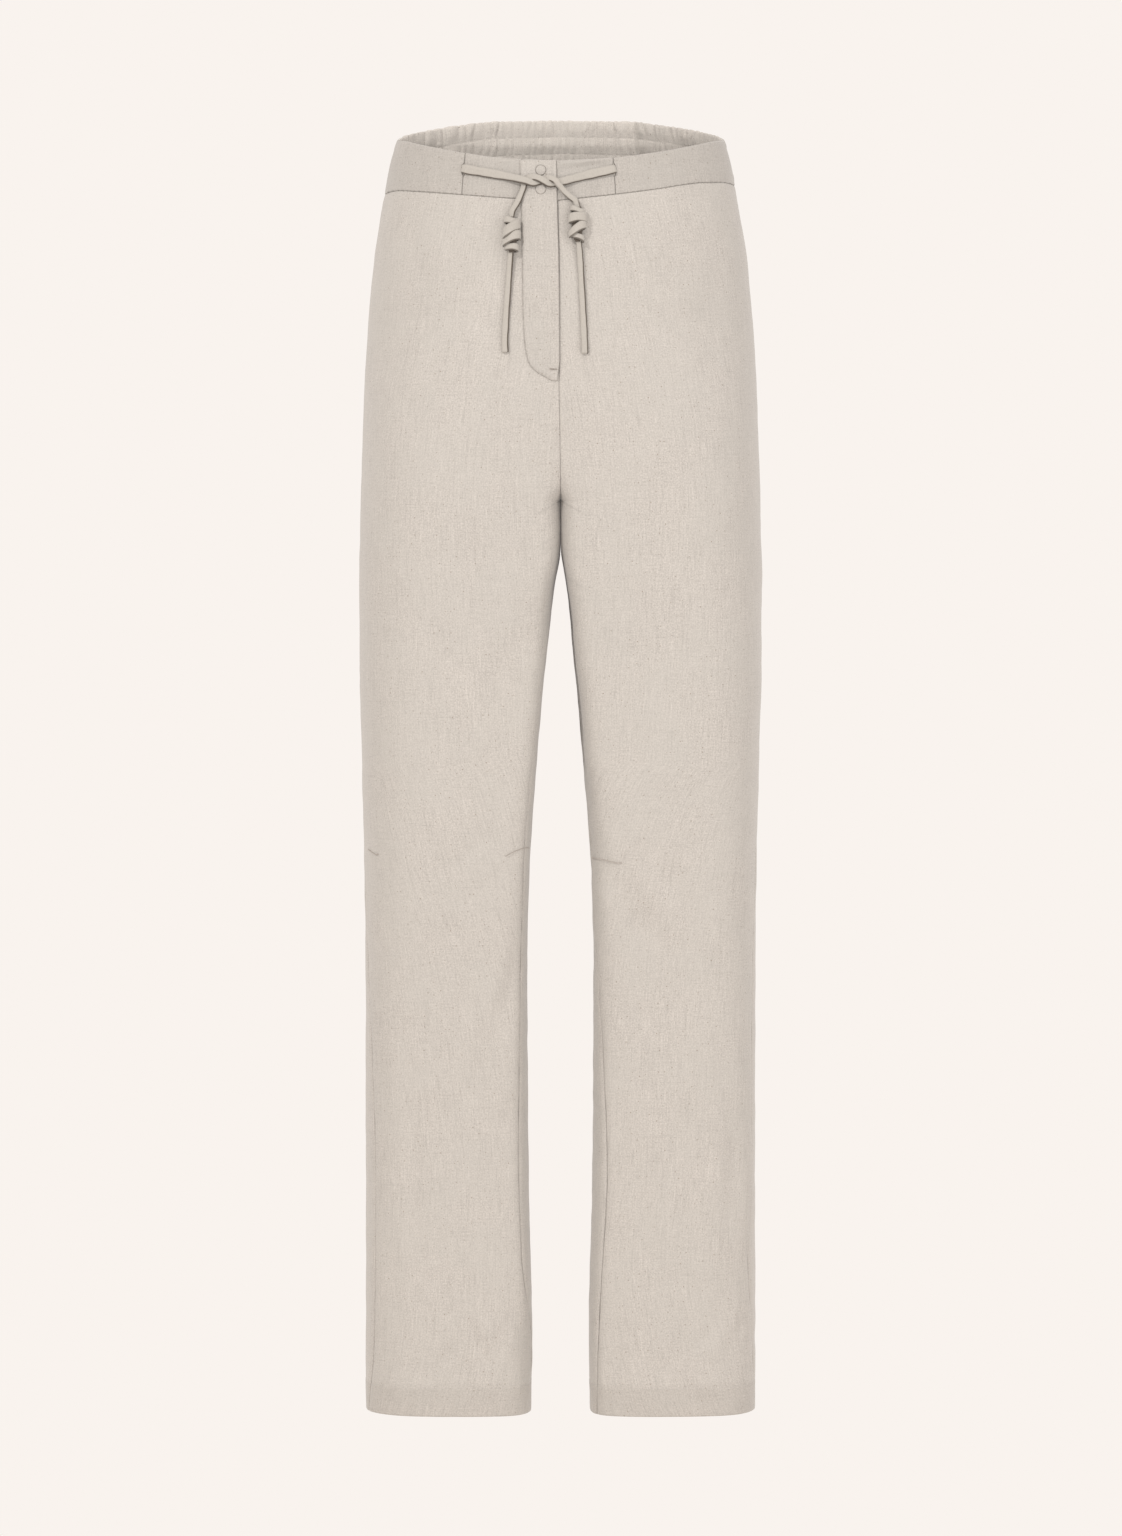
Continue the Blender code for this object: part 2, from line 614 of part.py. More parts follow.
def build():
    for side, word in ((RIGHT, "right"), (LEFT, "left")):
        build_panel("front_" + word, side, FRONT)
        build_panel("back_" + word, side, BACK)
    slot_right, slot_left = (front_bearing(*SLOTS[side][:2]) for side in (RIGHT, LEFT))
    underlap = front_bearing(UNDERLAP_X, UNDERLAP_DROP)
    build_front_band("band_front_right", -90, slot_right, RIGHT, False)
    build_front_band("band_inner_right", slot_right, underlap, RIGHT, True)
    build_front_band("band_inner_left", underlap, slot_left, LEFT, False)
    build_front_band("band_front_left", slot_left, 90, LEFT, True)
    build_back_band()
    build_placket()
    for name, place in SNAPS.items():
        build_snap(name, *place)
    for name, route in CORD_ROUTES.items():
        build_cord(name, route)
    for name, place in KNOTS.items():
        build_knot(name, *place)


for thing in list(bpy.data.objects):
    bpy.data.objects.remove(thing, do_unlink=True)
build()
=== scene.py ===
"""Looks of the straight-leg drawstring trousers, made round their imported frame.

Lengths here are millimetres; a mesh is scaled to metres when it is made. Heights are drops below the
top corner at the wearer's side. X runs to the wearer's left, Y to the back and Z up.
"""

import math

import bpy
import numpy as np
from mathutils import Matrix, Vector
from numpy import arange, array, clip, concatenate, cos, linspace, maximum, pi, sin, stack, where


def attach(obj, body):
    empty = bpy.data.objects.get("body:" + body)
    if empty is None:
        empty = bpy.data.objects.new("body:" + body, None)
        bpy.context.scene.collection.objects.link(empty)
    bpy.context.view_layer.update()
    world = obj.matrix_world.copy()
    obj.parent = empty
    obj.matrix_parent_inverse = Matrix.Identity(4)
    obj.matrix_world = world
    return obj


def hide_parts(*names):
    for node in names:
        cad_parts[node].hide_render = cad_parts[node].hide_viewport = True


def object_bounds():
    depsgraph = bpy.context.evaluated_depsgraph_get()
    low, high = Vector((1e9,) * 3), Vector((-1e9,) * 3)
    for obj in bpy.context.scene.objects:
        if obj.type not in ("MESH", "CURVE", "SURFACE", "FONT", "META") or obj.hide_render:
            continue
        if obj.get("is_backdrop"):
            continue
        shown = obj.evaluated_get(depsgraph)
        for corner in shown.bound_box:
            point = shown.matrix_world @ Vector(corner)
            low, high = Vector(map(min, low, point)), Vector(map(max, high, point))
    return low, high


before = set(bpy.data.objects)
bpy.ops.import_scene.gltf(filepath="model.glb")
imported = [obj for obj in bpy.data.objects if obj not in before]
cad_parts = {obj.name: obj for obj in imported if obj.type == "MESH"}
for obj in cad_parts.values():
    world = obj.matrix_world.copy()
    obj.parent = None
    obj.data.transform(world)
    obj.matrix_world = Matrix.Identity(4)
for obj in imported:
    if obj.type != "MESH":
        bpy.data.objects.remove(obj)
cad_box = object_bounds()

MM = 0.001
RIGHT, LEFT = -1, 1
FRONT, BACK = 0, 1

# The camera, at the photograph's angle
CAMERA_DISTANCE = 5000.0
CAMERA_PITCH = 2.9          # degrees down
CAMERA_AIM = (0.4, 0.0, -504.5)
LENS = 139.75

# Lights: name, place in metres, power, size, colour
LIGHTS = [
    ("key", (-1.9, -3.0, 2.1), 62.0, 0.35, (1.0, 0.985, 0.96)),
    ("fill", (2.6, -2.8, 0.2), 30.0, 2.2, (1, 1, 1)),
    ("front", (0.3, -4.2, -0.3), 36.0, 1.6, (1, 1, 1)),
]
LIGHT_AIM = (0, 0, -0.5)
BACKDROP = (0.947, 0.896, 0.855)
FLOOR_COLOUR = (0.80, 0.76, 0.72)
FLOOR_RADIUS, FLOOR_HEIGHT = 1.5, -1.45
CLOTH_COLOUR = (0.453, 0.422, 0.389)
TAPE_COLOUR = (0.405, 0.376, 0.340)
THREAD_COLOUR = (0.36, 0.315, 0.28)

# Sizes, as in the solids
ORIGIN_DROP = 20.0
WAIST_DROP = 45.0
CLEFT_DROP = 150.0
LEVEL_DROP = 225.0
CROTCH_DROP = 300.0
HEM_DROP = 1063.0
HEM_STITCH = HEM_DROP - 25.0
CLEFT_EASE = 1.1
PARTING_EASE = 8.0
SEAM_FOLLOW = 1.5
CENTRE_GAP = 0.03
SEAM_GAP = 0.05
PANEL_WIDTH = 200.0
WIDEST = 168.0
ARC_STEPS = 49

# The form: drop, half the width, half the gap between the legs, reach to the front and to the back,
# squareness of a leg's outer half and of its inner half at the front and the back (2 is an ellipse)
SECTIONS = [
    (0, 136, 0.03, 98, 100, 2.2, 2.2, 2.2), (20, 141.8, 0.03, 100, 104, 2.2, 2.2, 2.2),
    (50, 147.4, 0.03, 103.5, 110, 2.2, 2.2, 2.2), (100, 155.6, 0.03, 108, 122, 2.2, 2.3, 2.2),
    (170, 161.8, 0.03, 110, 132, 2.2, 2.7, 2.3), (235, 165.1, 0.03, 108, 132, 2.4, 4.6, 2.5),
    (300, 167.1, 0.03, 104, 123, 2.5, 8.5, 2.7), (334, 167.9, 0.03, 101.5, 115.5, 2.55, 9, 2.7),
    (345, 168.2, 0.7, 100.5, 113, 2.6, 8.8, 2.7), (356, 168.3, 2.3, 100, 111, 2.6, 8.6, 2.7),
    (370, 168.4, 4.5, 99, 108, 2.6, 8.4, 2.7), (420, 168.4, 9.5, 96, 98, 2.7, 7.8, 2.6),
    (520, 166.3, 18.7, 92, 83, 2.7, 7, 2.5), (600, 164.6, 24.3, 88, 74, 2.8, 6.3, 2.4),
    (722, 163.8, 27.2, 79, 69, 2.8, 5.4, 2.3), (860, 163.8, 26.4, 70, 66, 2.8, 5.2, 2.3),
    (1000, 164.2, 23.5, 63, 62, 2.8, 5, 2.2), (1063, 164.2, 24.7, 60, 60, 2.7, 4.4, 2.2),
]

# How far inside a leg's edge its seams lie, seen from the front: drop, right side seam, left side seam,
# right inseam, left inseam
SEAM_SWING = [
    (300, 0, 0, 0, 0), (420, 0, 0, 1.5, 0), (520, 0, 0, 4.2, 0), (600, 0.5, 1.4, 5.4, 0.8),
    (680, 3, 3.5, 5.3, 3), (778, 7, 4.2, 7, 8.6), (860, 9.2, 4.7, 8.1, 12), (932, 9, 7, 7, 9.8),
    (1000, 7.8, 3.5, 0.5, 7.3), (1063, 3, 0.3, 0.2, 5),
]

# The band's edges: degrees round from straight ahead, drop of the top edge, and of the waist seam on
# the wearer's right and left
BAND_EDGES = [
    (0, 22, 54.9, 54.9), (25, 19.6, 52.3, 49.6), (41.5, 15.1, 49.4, 45), (60, 7.8, 45.9, 38.7),
    (72.5, 3, 44.2, 37.3), (90, 0, 45.6, 38.2), (109, -7.4, 42, 35.5), (121, -12, 37.5, 32.5),
    (133, -16.3, 32, 29), (149, -20.4, 27, 25.5), (180, -21.5, 23.5, 23.5),
]
# The front band's height, and the radii at which its length and its slots are measured
BAND_HEIGHT, BAND_RADIUS, SLOT_RADIUS = 33.0, 118.0, 110.0
# The drawstring's slots, X and the drops of both ends, and the front band's end under the placket
SLOTS = {RIGHT: (-79.0, 24.5, 32.5), LEFT: (43.5, 25.3, 33.3)}
UNDERLAP = (-32.0, 35.0)

# The back band's casing: length round the back, height, rows of stitches, the way to its join
CASING_LENGTH, CASING_HEIGHT = 405.0, 45.0
CASING_STITCHES = (13.9, 27.6)
CASING_JOIN = (215.0 - 90) / 180
# Its gathers: share of the way round at which a stretch of them begins, and how many it has
GATHERS = [(0.00, 8), (0.24, 25), (0.74, 17), (1.00, 0)]
# How far they bulge: share of the height, bulge
CASING_ROWS = [(0, 0.6), (0.15, 0.95), (0.305, 0.5), (0.455, 0.9), (0.61, 0.5), (0.8, 0.9), (1, 0.55)]

# The placket's outline: drop, left edge, right edge; its width, and the end of its curved foot
PLACKET = [
    (21.9, -33.5, -3.3), (55, -32.2, -2.5), (108, -31.2, -1.2), (147, -30.6, -0.8), (172, -29.2, -0.7),
    (183, -27.2, -0.7), (189, -25, -0.9), (194, -20.3, -1.6), (198, -14.2, -2), (202, -7, -2.4),
]
PLACKET_WIDTH, PLACKET_TOE = 30.0, (-2.4, 202.5)
# Snap caps on the placket: X, drop; their rings: radius, height, shade
SNAPS = {"snap_upper": (-16.1, 30.2), "snap_lower": (-16.1, 45.8)}
CAP_RINGS = [
    (4.35, -0.2, 1), (4.45, 0.15, 1), (4.4, 0.5, 1), (4.15, 0.85, 0.7), (3.75, 1.02, 0.15), (3.35, 1, 0),
    (3.05, 0.93, 0), (2.7, 1, 0), (2.2, 1.16, 0), (1.5, 1.3, 0), (0.8, 1.37, 0), (0.15, 1.39, 0),
]

# The drawstring's routes, and its way into the slots: X, drop, lift of the middle off the cloth
CORD_ROUTES = {
    "cord_right": [
        (-79.5, 28.5, 1.45), (-72, 30, 1.45), (-62, 31.8, 1.45), (-52, 33.7, 1.55), (-43, 35.6, 2.35),
        (-36, 37.3, 3.901), (-31, 38.6, 5.276), (-27.5, 39.7, 5.669), (-22, 41.3, 4.229),
        (-17.5, 40.2, 2.85), (-13.5, 38.6, 3.05), (-9.5, 37.2, 4.294), (-4.5, 39.3, 5.735),
        (-1, 43.3, 5.08), (3, 48, 4.294), (7.8, 52.4, 4.032), (12.3, 56.2, 4.163), (13.6, 59.9, 4.36),
    ],
    "cord_left": [
        (44, 29.3, 1.45), (36, 31, 1.45), (27, 33, 1.45), (18, 35.2, 1.55), (10, 37.4, 1.95),
        (3, 39.4, 2.55), (-4, 40.9, 2.75), (-9.5, 41.8, 4.425), (-13, 40, 5.8), (-17.5, 37.6, 5.735),
        (-22, 36.4, 4.229), (-26.8, 37.4, 2.95), (-29, 40.6, 2.75), (-29.8, 44.5, 2.85),
        (-32.2, 51, 3.05), (-35.4, 58, 3.377), (-38.6, 63.8, 4.032), (-39.3, 67.9, 4.36),
    ],
    "tail_right": [
        (-40.2, 98.6, 3.77), (-40.9, 106, 2.55), (-42, 120, 1.65), (-43.3, 137, 1.55),
        (-44.5, 155, 1.55), (-45.2, 170, 1.55), (-44.9, 179, 1.55),
    ],
    "tail_left": [
        (15, 90, 3.77), (15.7, 98, 2.55), (16.6, 112, 1.65), (17.6, 130, 1.55), (18.7, 150, 1.55),
        (19.6, 168, 1.55), (20, 180, 1.55),
    ],
}
SLOT_ENTRY = {
    RIGHT: [(-80.6, 28.2, -2.6), (-80.3, 28.3, -0.9)],
    LEFT: [(45.2, 29.0, -2.6), (44.9, 29.1, -0.9)],
}
TAPE_SIDES, TAPE_GIRTH = 28, 17.0

# The stopper knots: X, drop of the top, lift of the middle, height; their wraps: depth below the top,
# slope, half width, half thickness, the tape's width, tip, the tape's thickness
KNOTS = {"knot_right": (-39.3, 68.8, 4.9, 29.0), "knot_left": (13.6, 60.8, 4.9, 28.4)}
WRAPS = {
    "knot_right": [
        (3.6, -0.16, 5.2, 3.7, 5.8, 0.3, 2.1), (10, 0.72, 6.1, 4.6, 8, -0.4, 2.4),
        (17.6, 0.5, 6.3, 4.4, 7.6, 0.5, 2.3), (24.6, -0.16, 4.7, 3.8, 6.4, 0.3, 2.2),
    ],
    "knot_left": [
        (2.9, -0.25, 5, 3.6, 4.8, 0.4, 2.1), (8.9, 0.14, 6.4, 4.8, 7.8, -0.3, 2.5),
        (17.8, 0.66, 6.1, 4.4, 7.4, 0.4, 2.3), (24.2, -0.5, 4.6, 3.5, 5.6, 0.4, 2.2),
    ],
}

# The centre front line leans to the wearer's right: drop, shift
CENTRE_LEAN = [
    (0, -3.4), (55, -2.5), (110, -1.2), (200, -1.2), (260, -0.3), (300, 0),
]

# Rows of a leg panel: drop at the side seam, drop at the centre seam or inseam
PANEL_ROWS = [
    (45, 45), (175, 175), (203, 203), (232, 230), (258, 250), (280, 268), (298, 280), (314, 288.5),
    (328, 294.5), (341, 298.2), (347, 299.5), (351, 299.93), (355, 299.995), (359, CROTCH_DROP),
    (371, 308), (386, 325), (402, 349), (420, 372), (450, 412), (490, 468), (540, 530), (590, 590),
    (634, 634), (HEM_DROP, HEM_DROP),
]
# Where more rows lie at the side seam: from, to, step
ROW_SPACING = [
    (52.4, 340, 4), (341, 374, 1.5), (375.5, 410, 2), (412, 572, 4), (575, 613, 2.5), (618, HEM_STITCH - 7, 4),
    (1050.5, 1055, 3.5),
]
# Distances from a panel's and a band's edge of the rows and columns near it
EDGE_STEPS = array([0, 0.25, 0.6, 1.05, 1.7, 2.6, 3.8, 5.4, 7.4])
BAND_EDGE = array([0, 0.3, 0.7, 1.2, 1.9, 2.9, 4.2, 6.0])
# Columns of a panel's grid on the inner thigh, and how wide that part is in X
THIGH_COLUMNS, CORNER = 22, 9.0

# Soft folds: side, face, way round from inseam or centre (0) to side seam (1), drop of the middle, half
# the width round the leg, half the height, depth (inward is negative)
FOLDS = [
    (RIGHT, FRONT, 0.16, 470, 20, 190, -2.6), (LEFT, FRONT, 0.14, 450, 20, 170, -2.2),
    (RIGHT, FRONT, 0.62, 840, 34, 230, -1.6), (LEFT, FRONT, 0.45, 800, 36, 250, -1.8),
    (RIGHT, FRONT, 0.14, 985, 17, 60, -2), (LEFT, FRONT, 0.12, 1000, 17, 55, -2),
    (RIGHT, BACK, 0.2, 420, 26, 130, -3.4), (LEFT, BACK, 0.22, 430, 26, 130, -3.2),
    (RIGHT, BACK, 0.45, 633, 60, 45, -3), (LEFT, BACK, 0.45, 640, 60, 45, -3),
    (RIGHT, BACK, 0.4, 820, 30, 200, -2.2), (LEFT, BACK, 0.55, 850, 30, 220, -2.2),
]
# They fade in below the crotch: drop, share
FOLDS_BEGIN = [(359, 0), (385, 0.25), (440, 1)]

# Smaller creases: X, drop, lean from upright in degrees (positive leans the foot to +X), bend, half
# length, half width, depth
CREASES = {
    FRONT: [
        (-36, 216, 38, 0.1, 12, 4.5, -0.7), (-46, 230, 34, 0.1, 16, 6, -0.6),
        (-20, 262, 22, -0.2, 26, 7, -1), (16, 268, -24, 0.2, 24, 7, -0.9),
        (0, 247, 0, 0, 16, 4.5, -0.9), (-26, 330, 12, 0.2, 46, 8, -1.2),
        (27, 336, -10, -0.2, 50, 8, -1), (-118, 96, 14, 0.1, 34, 9, -0.5),
        (96, 88, -12, -0.1, 30, 9, -0.6), (128, 150, -8, 0.1, 48, 11, -0.7),
        (-78, 590, -58, 0.1, 22, 6, -0.8), (-66, 622, -50, -0.1, 26, 7, -0.8),
        (-88, 655, -40, 0.2, 24, 7, -0.6), (-62, 716, -15, 0.1, 56, 9, 1.5),
        (-47, 724, -13, 0.1, 56, 8, -1.7), (58, 640, 24, 0.1, 52, 13, -2.2),
        (76, 628, 20, 0.1, 44, 9, 1), (84, 622, -34, -0.1, 34, 9, -0.7),
        (112, 648, 24, 0.1, 34, 10, -0.6), (-141, 974, 0, 0.1, 62, 10, -1.6),
        (-121, 900, 1, 0.03, 110, 9, -1.4), (-58, 860, 4, 0.05, 110, 12, -1.3),
        (66, 905, 4, 0.1, 90, 11, -1.5), (110, 930, -4, -0.1, 84, 12, -1.1),
        (141, 850, 3, 0.03, 80, 8, -2.6), (-96, 1012, -30, 0.1, 20, 5, -1.1),
        (-68, 1002, 26, 0.1, 24, 5, -1.2), (-50, 1000, -24, 0.1, 24, 5, -1.1),
        (46, 1016, -28, 0.1, 18, 5, -0.9), (96, 1006, -30, 0.1, 22, 5, -1),
        (122, 990, -30, 0.1, 26, 5, -1.2), (140, 988, -24, 0.1, 26, 5, 1),
    ],
    BACK: [
        (-52, 262, 52, 0.2, 34, 8, -1.2), (55, 268, -50, -0.2, 34, 8, -1.2),
        (-70, 292, 58, 0.1, 40, 9, -1.2), (72, 300, -56, -0.1, 38, 9, -1.1),
        (-48, 350, 24, 0.2, 60, 9, -1.2), (50, 346, -22, -0.2, 58, 9, -1.2),
        (-92, 612, 72, 0.1, 36, 8, -1.4), (-84, 648, 62, -0.1, 32, 8, -1),
        (88, 616, -72, 0.1, 36, 8, -1.4), (96, 654, -60, -0.1, 32, 8, -1),
        (-66, 770, 10, 0.1, 70, 10, -1), (74, 800, -8, 0.1, 72, 10, -1),
        (-108, 1008, 26, 0.1, 18, 6, -0.7), (-60, 1014, -30, 0.1, 16, 6, -0.7),
        (66, 1012, 28, 0.1, 16, 6, -0.7), (112, 1006, -24, 0.1, 18, 6, -0.7),
    ],
}

# Creases of the front band and the placket: X, drop, turn from level in degrees, half length, half
# width, depth
BAND_CREASES = [
    (18, 27.5, -8, 21, 2.3, -1.5), (22, 22.5, -8, 20, 1.8, 0.7), (84, 27, 4, 16, 2.2, -0.45),
    (104, 22, -6, 14, 2, -0.35), (-112, 30, -10, 20, 2.6, -0.3), (-58, 24, 6, 12, 2, -0.25),
    (64, 40, 2, 14, 2, -0.25),
]
FLY_CREASES = [
    (-12, 74, 78, 22, 3, 0.35), (-20, 110, -84, 30, 4, -0.3), (-9, 140, 84, 26, 3.5, -0.3),
    (-17, 178, -35, 9, 2.6, -0.3),
]

# Sewn darts at the front of the knees and the bar at the fly's foot, as lines of X and drop
DARTS = {
    "dart_right_inner": [
        (-45.8, 593.4), (-38.9, 589.7), (-32.5, 587.3), (-28.5, 586.6), (-25.4, 587.6),
    ],
    "dart_right_outer": [
        (-160.4, 589.6), (-155.8, 591.8), (-152, 593.2), (-150.4, 591.6),
    ],
    "dart_left_inner": [
        (25.9, 595.2), (34.5, 596), (43.6, 597.8), (49.3, 598.5), (51.9, 596.9),
    ],
}
BARTACK = [(-9.4, 192.2), (-5.7, 192.4), (-2.0, 192.6)]


def bell(x, middle, width):
    """A smooth hill, one high."""
    return np.exp(-((x - middle) / width) ** 2)


def fall(x, length):
    """From one at nought, fading over a length."""
    return np.exp(-x / length)


def ramp(x, start, width):
    """From nought to one over a width, which may be negative."""
    return clip((x - start) / width, 0, 1)


def nearest(*distances):
    return np.minimum.reduce(np.broadcast_arrays(*distances))


def pair(first, second):
    """Places on the map of cloth lengths."""
    return stack(np.broadcast_arrays(first, second), -1)


def unit(vectors):
    return vectors / np.linalg.norm(vectors, axis=-1, keepdims=True)


def circle(count):
    return linspace(0, 2 * pi, count, endpoint=False)


def run_along(points):
    """The way run at each of a line's points."""
    return np.append(0, np.cumsum(np.linalg.norm(np.diff(points, axis=0), axis=1)))


def between(at, run, vectors):
    return stack([np.interp(at, run, column) for column in vectors.T], -1)


def hermite(place, values, slopes, at):
    """Values on curves through the given ones and their slopes."""
    low = clip(np.searchsorted(place, at, side="right") - 1, 0, len(place) - 2)
    span = (place[low + 1] - place[low])[..., None]
    t = (at - place[low])[..., None] / span
    return ((1 + 2 * t) * (1 - t) ** 2 * values[low] + t * (1 - t) ** 2 * span * slopes[low]
            + t * t * (3 - 2 * t) * values[low + 1] + t * t * (t - 1) * span * slopes[low + 1])


def eased(table, at):
    """A table's later columns at places in its first column, on curves that never overshoot."""
    rows = np.asarray(table, float)
    place, values = rows[:, 0], rows[:, 1:]
    slope = np.diff(values, axis=0) / np.diff(place)[:, None]
    before, after = slope[:-1], slope[1:]
    agree = before * after > 0
    middle = where(agree, 2 * before * after / where(agree, before + after, 1), 0)
    slopes = concatenate([slope[:1], middle, slope[-1:]])
    return hermite(place, values, slopes, clip(np.asarray(at, float), place[0], place[-1]))


def arc_angle(share, half, reach, power):
    """The angle on a superellipse over a share of its half width."""
    return np.arctan2(reach * (1 - np.abs(share) ** power) ** (1 / power), share * half)


class Lobe:
    """The half-section round one leg: a superellipse, cut off at the centre above the crotch."""

    def __init__(self, drop):
        columns = np.moveaxis(eased(SECTIONS, drop), -1, 0)
        self.width, gap, self.front, self.back, self.outer, self.inner_front, self.inner_back = columns
        self.cleft = ramp(drop, CLEFT_DROP, CROTCH_DROP - CLEFT_DROP) ** CLEFT_EASE
        shift = maximum(CENTRE_GAP, gap * gap / (gap + PARTING_EASE))
        self.outer_half = (self.width - shift) / (1 + self.cleft)
        self.inner_half = self.outer_half + shift - gap
        self.middle = shift + self.outer_half * self.cleft

    def quarter(self, inwards, forwards):
        """Half width, reach and squareness of the quarter that a point lies in."""
        half = where(inwards, self.inner_half, self.outer_half)
        reach = where(forwards, self.front, self.back)
        inner = where(forwards, self.inner_front, self.inner_back)
        return half, reach, where(inwards, inner, self.outer)

    def plan(self, angle):
        """X from the centre plane and Y at an angle, which is 0 at the side and grows to the front."""
        half, reach, power = self.quarter(cos(angle) < 0, sin(angle) > 0)
        across, deep = np.abs(cos(angle)) / half, np.abs(sin(angle)) / reach
        radius = (across ** power + deep ** power) ** (-1 / power)
        return self.middle + radius * cos(angle), -radius * sin(angle)

    def edge_angle(self, inset, forwards):
        """The angle of the inner edge."""
        half, reach, power = self.quarter(True, forwards)
        return arc_angle(-np.minimum(self.cleft, 1 - inset / half), half, reach, power)

    def level(self, x, y):
        """Below one inside the section, above one outside it."""
        half, reach, power = self.quarter(x < self.middle, y < 0)
        return np.abs((x - self.middle) / half) ** power + np.abs(y / reach) ** power


def side_angle(drop, side):
    """The angle of a leg's side seam."""
    lobe = Lobe(drop)
    inset = eased(SEAM_SWING, drop)[..., int(side == LEFT)]
    return arc_angle(1 - inset / lobe.outer_half, lobe.outer_half, lobe.front, lobe.outer)


def inner_angle(drop, side, face):
    """The angle of a panel's centre seam above the crotch, and of its inseam below."""
    lobe = Lobe(drop)
    inset = eased(SEAM_SWING, drop)[..., 2 + (side == LEFT)] * ramp(drop, CROTCH_DROP, 120) ** lobe.inner_front
    front_edge = lobe.edge_angle(inset, True)
    if face == FRONT:
        return front_edge
    return where(lobe.cleft < 1, -lobe.edge_angle(0, False), front_edge - 2 * pi)


def arc(drop, side, face, last=None):
    """Angles from a panel's inner edge to its side seam, with X and the way run at each."""
    inner = inner_angle(drop[:, :1], side, face)[..., None]
    outer = side_angle(drop[:, -1:] if last is None else last, side)[..., None]
    angles = inner + (outer - inner) * linspace(0, 1, ARC_STEPS)
    x, y = Lobe(drop[..., None]).plan(angles)
    run = np.cumsum(np.hypot(np.diff(x), np.diff(y)), axis=-1)
    return angles, x, concatenate([0 * run[..., :1], run], axis=-1)


def panel_angles(way, drop, side, face):
    """Angles at ways along the cloth from the inner edge (0) to the side seam (1)."""
    angles, _, run = arc(drop, side, face)
    target = way * run[..., -1]
    low = clip((run <= target[..., None]).sum(-1) - 1, 0, ARC_STEPS - 2)[..., None]
    (before, after), (start, end) = (
        [np.take_along_axis(grid, low + i, -1)[..., 0] for i in (0, 1)]
        for grid in (run, np.broadcast_to(angles, run.shape)))
    return start + (end - start) * (target - before) / (after - before)


def lean(drop, x, width):
    return eased(CENTRE_LEAN, drop)[..., 0] * (1 - (x / width) ** 2)


def surface(angle, drop, side):
    """Points of the cloth's outer face and its outward normals."""
    lobe = Lobe(drop)
    x, y = lobe.plan(angle)
    half, reach, power = lobe.quarter(x < lobe.middle, y < 0)
    across = (x - lobe.middle) / half
    pull_x = power / half * np.abs(across) ** (power - 1) * np.sign(across)
    pull_y = power / reach * np.abs(y / reach) ** (power - 1) * np.sign(y)
    pull_z = -(Lobe(drop + 1).level(x, y) - Lobe(drop - 1).level(x, y)) / 2
    normal = unit(stack([side * pull_x, pull_y, pull_z], -1))
    x = side * x
    x = x + where(y < 0, lean(drop, x, lobe.width), 0)
    return stack([x, y, ORIGIN_DROP - drop], -1), normal


def front_angle(x, drop, side):
    lobe = Lobe(drop)
    across = side * (x - lean(drop, x, lobe.width)) - lobe.middle
    half, reach, power = lobe.quarter(across < 0, True)
    return arc_angle(across / half, half, reach, power)


def on_both(signed, make):
    """Points and normals, made on the side that each one's sign gives."""
    place, normal = np.empty((2, *signed.shape, 3))
    for side in (RIGHT, LEFT):
        here = (signed >= 0) == (side == LEFT)
        place[here], normal[here] = make(here, side)
    return place, normal


def front(x, drop):
    """Points on the front at X and a drop, and the cloth's normals there."""
    x, drop = np.broadcast_arrays(np.asarray(x, float), np.asarray(drop, float))
    return on_both(x, lambda here, side: surface(front_angle(x[here], drop[here], side), drop[here], side))


def on_front(x, drop, lift):
    """Points lifted off the front."""
    place, normal = front(x, drop)
    return place + normal * np.broadcast_to(lift, place.shape[:-1])[..., None]


def bearing_of(angle):
    return 90 - np.degrees(angle)


def waist_seam(bearing, side):
    return eased(BAND_EDGES, bearing)[..., 1 + (side == LEFT)]


def in_band(bearing, share):
    """Points of the band and their normals, at bearings that grow to the wearer's left."""
    turned = (bearing + 180) % 360 - 180

    def band(here, side):
        from_front = np.abs(turned[here])
        top = eased(BAND_EDGES, from_front)[..., 0]
        drop = top + (waist_seam(from_front, side) - top) * share[here]
        return surface(np.radians(90 - from_front), drop, side)

    return on_both(turned, band)


def front_bearing(x, drop):
    side = RIGHT if x < 0 else LEFT
    return side * float(bearing_of(front_angle(array(x), array(drop), side)))


# ---- meshes and pieces

def link(name, data):
    thing = bpy.data.objects.new(name, data)
    bpy.context.scene.collection.objects.link(thing)
    return thing


def piece(name, points, faces, coords, material, nodes=()):
    """A new smooth object on the root body, which may stand for solids of the frame."""
    mesh = bpy.data.meshes.new(name)
    mesh.from_pydata((points * MM).reshape(-1, 3), [], faces, shade_flat=False)
    layer = mesh.uv_layers.new(name="cloth")
    layer.data.foreach_set("uv", (coords * MM).reshape(-1, 2)[faces.ravel()].ravel())
    mesh.validate()
    mesh.materials.append(material)
    thing = link(name, mesh)
    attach(thing, "root")
    if nodes:
        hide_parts(*nodes)
    return thing


def mark(thing, name, values):
    """Gives each point a value that the material reads."""
    layer = thing.data.attributes.new(name, "FLOAT", "POINT")
    layer.data.foreach_set("value", np.ravel(values).astype(np.float32))


def quads(index, after):
    """Four-sided faces between each row of points and the next."""
    return stack([index[:-1], index[1:], after[1:], after[:-1]], -1).reshape(-1, 4)


def ring_faces(rings, count, closed=False):
    """Faces round a row of rings, closed in itself or capped at both ends."""
    index = arange(rings * count).reshape(rings, count)
    if closed:
        index = concatenate([index, index[:1]])
    sides = np.roll(quads(index, np.roll(index, -1, axis=1)), -1, axis=1)
    i = arange(count // 2 - 1)
    caps = index[[0, -1]][:, stack([i, i + 1, -i - 2, -i - 1], -1)]
    return sides if closed else concatenate([sides, caps[0], caps[1, :, ::-1]])


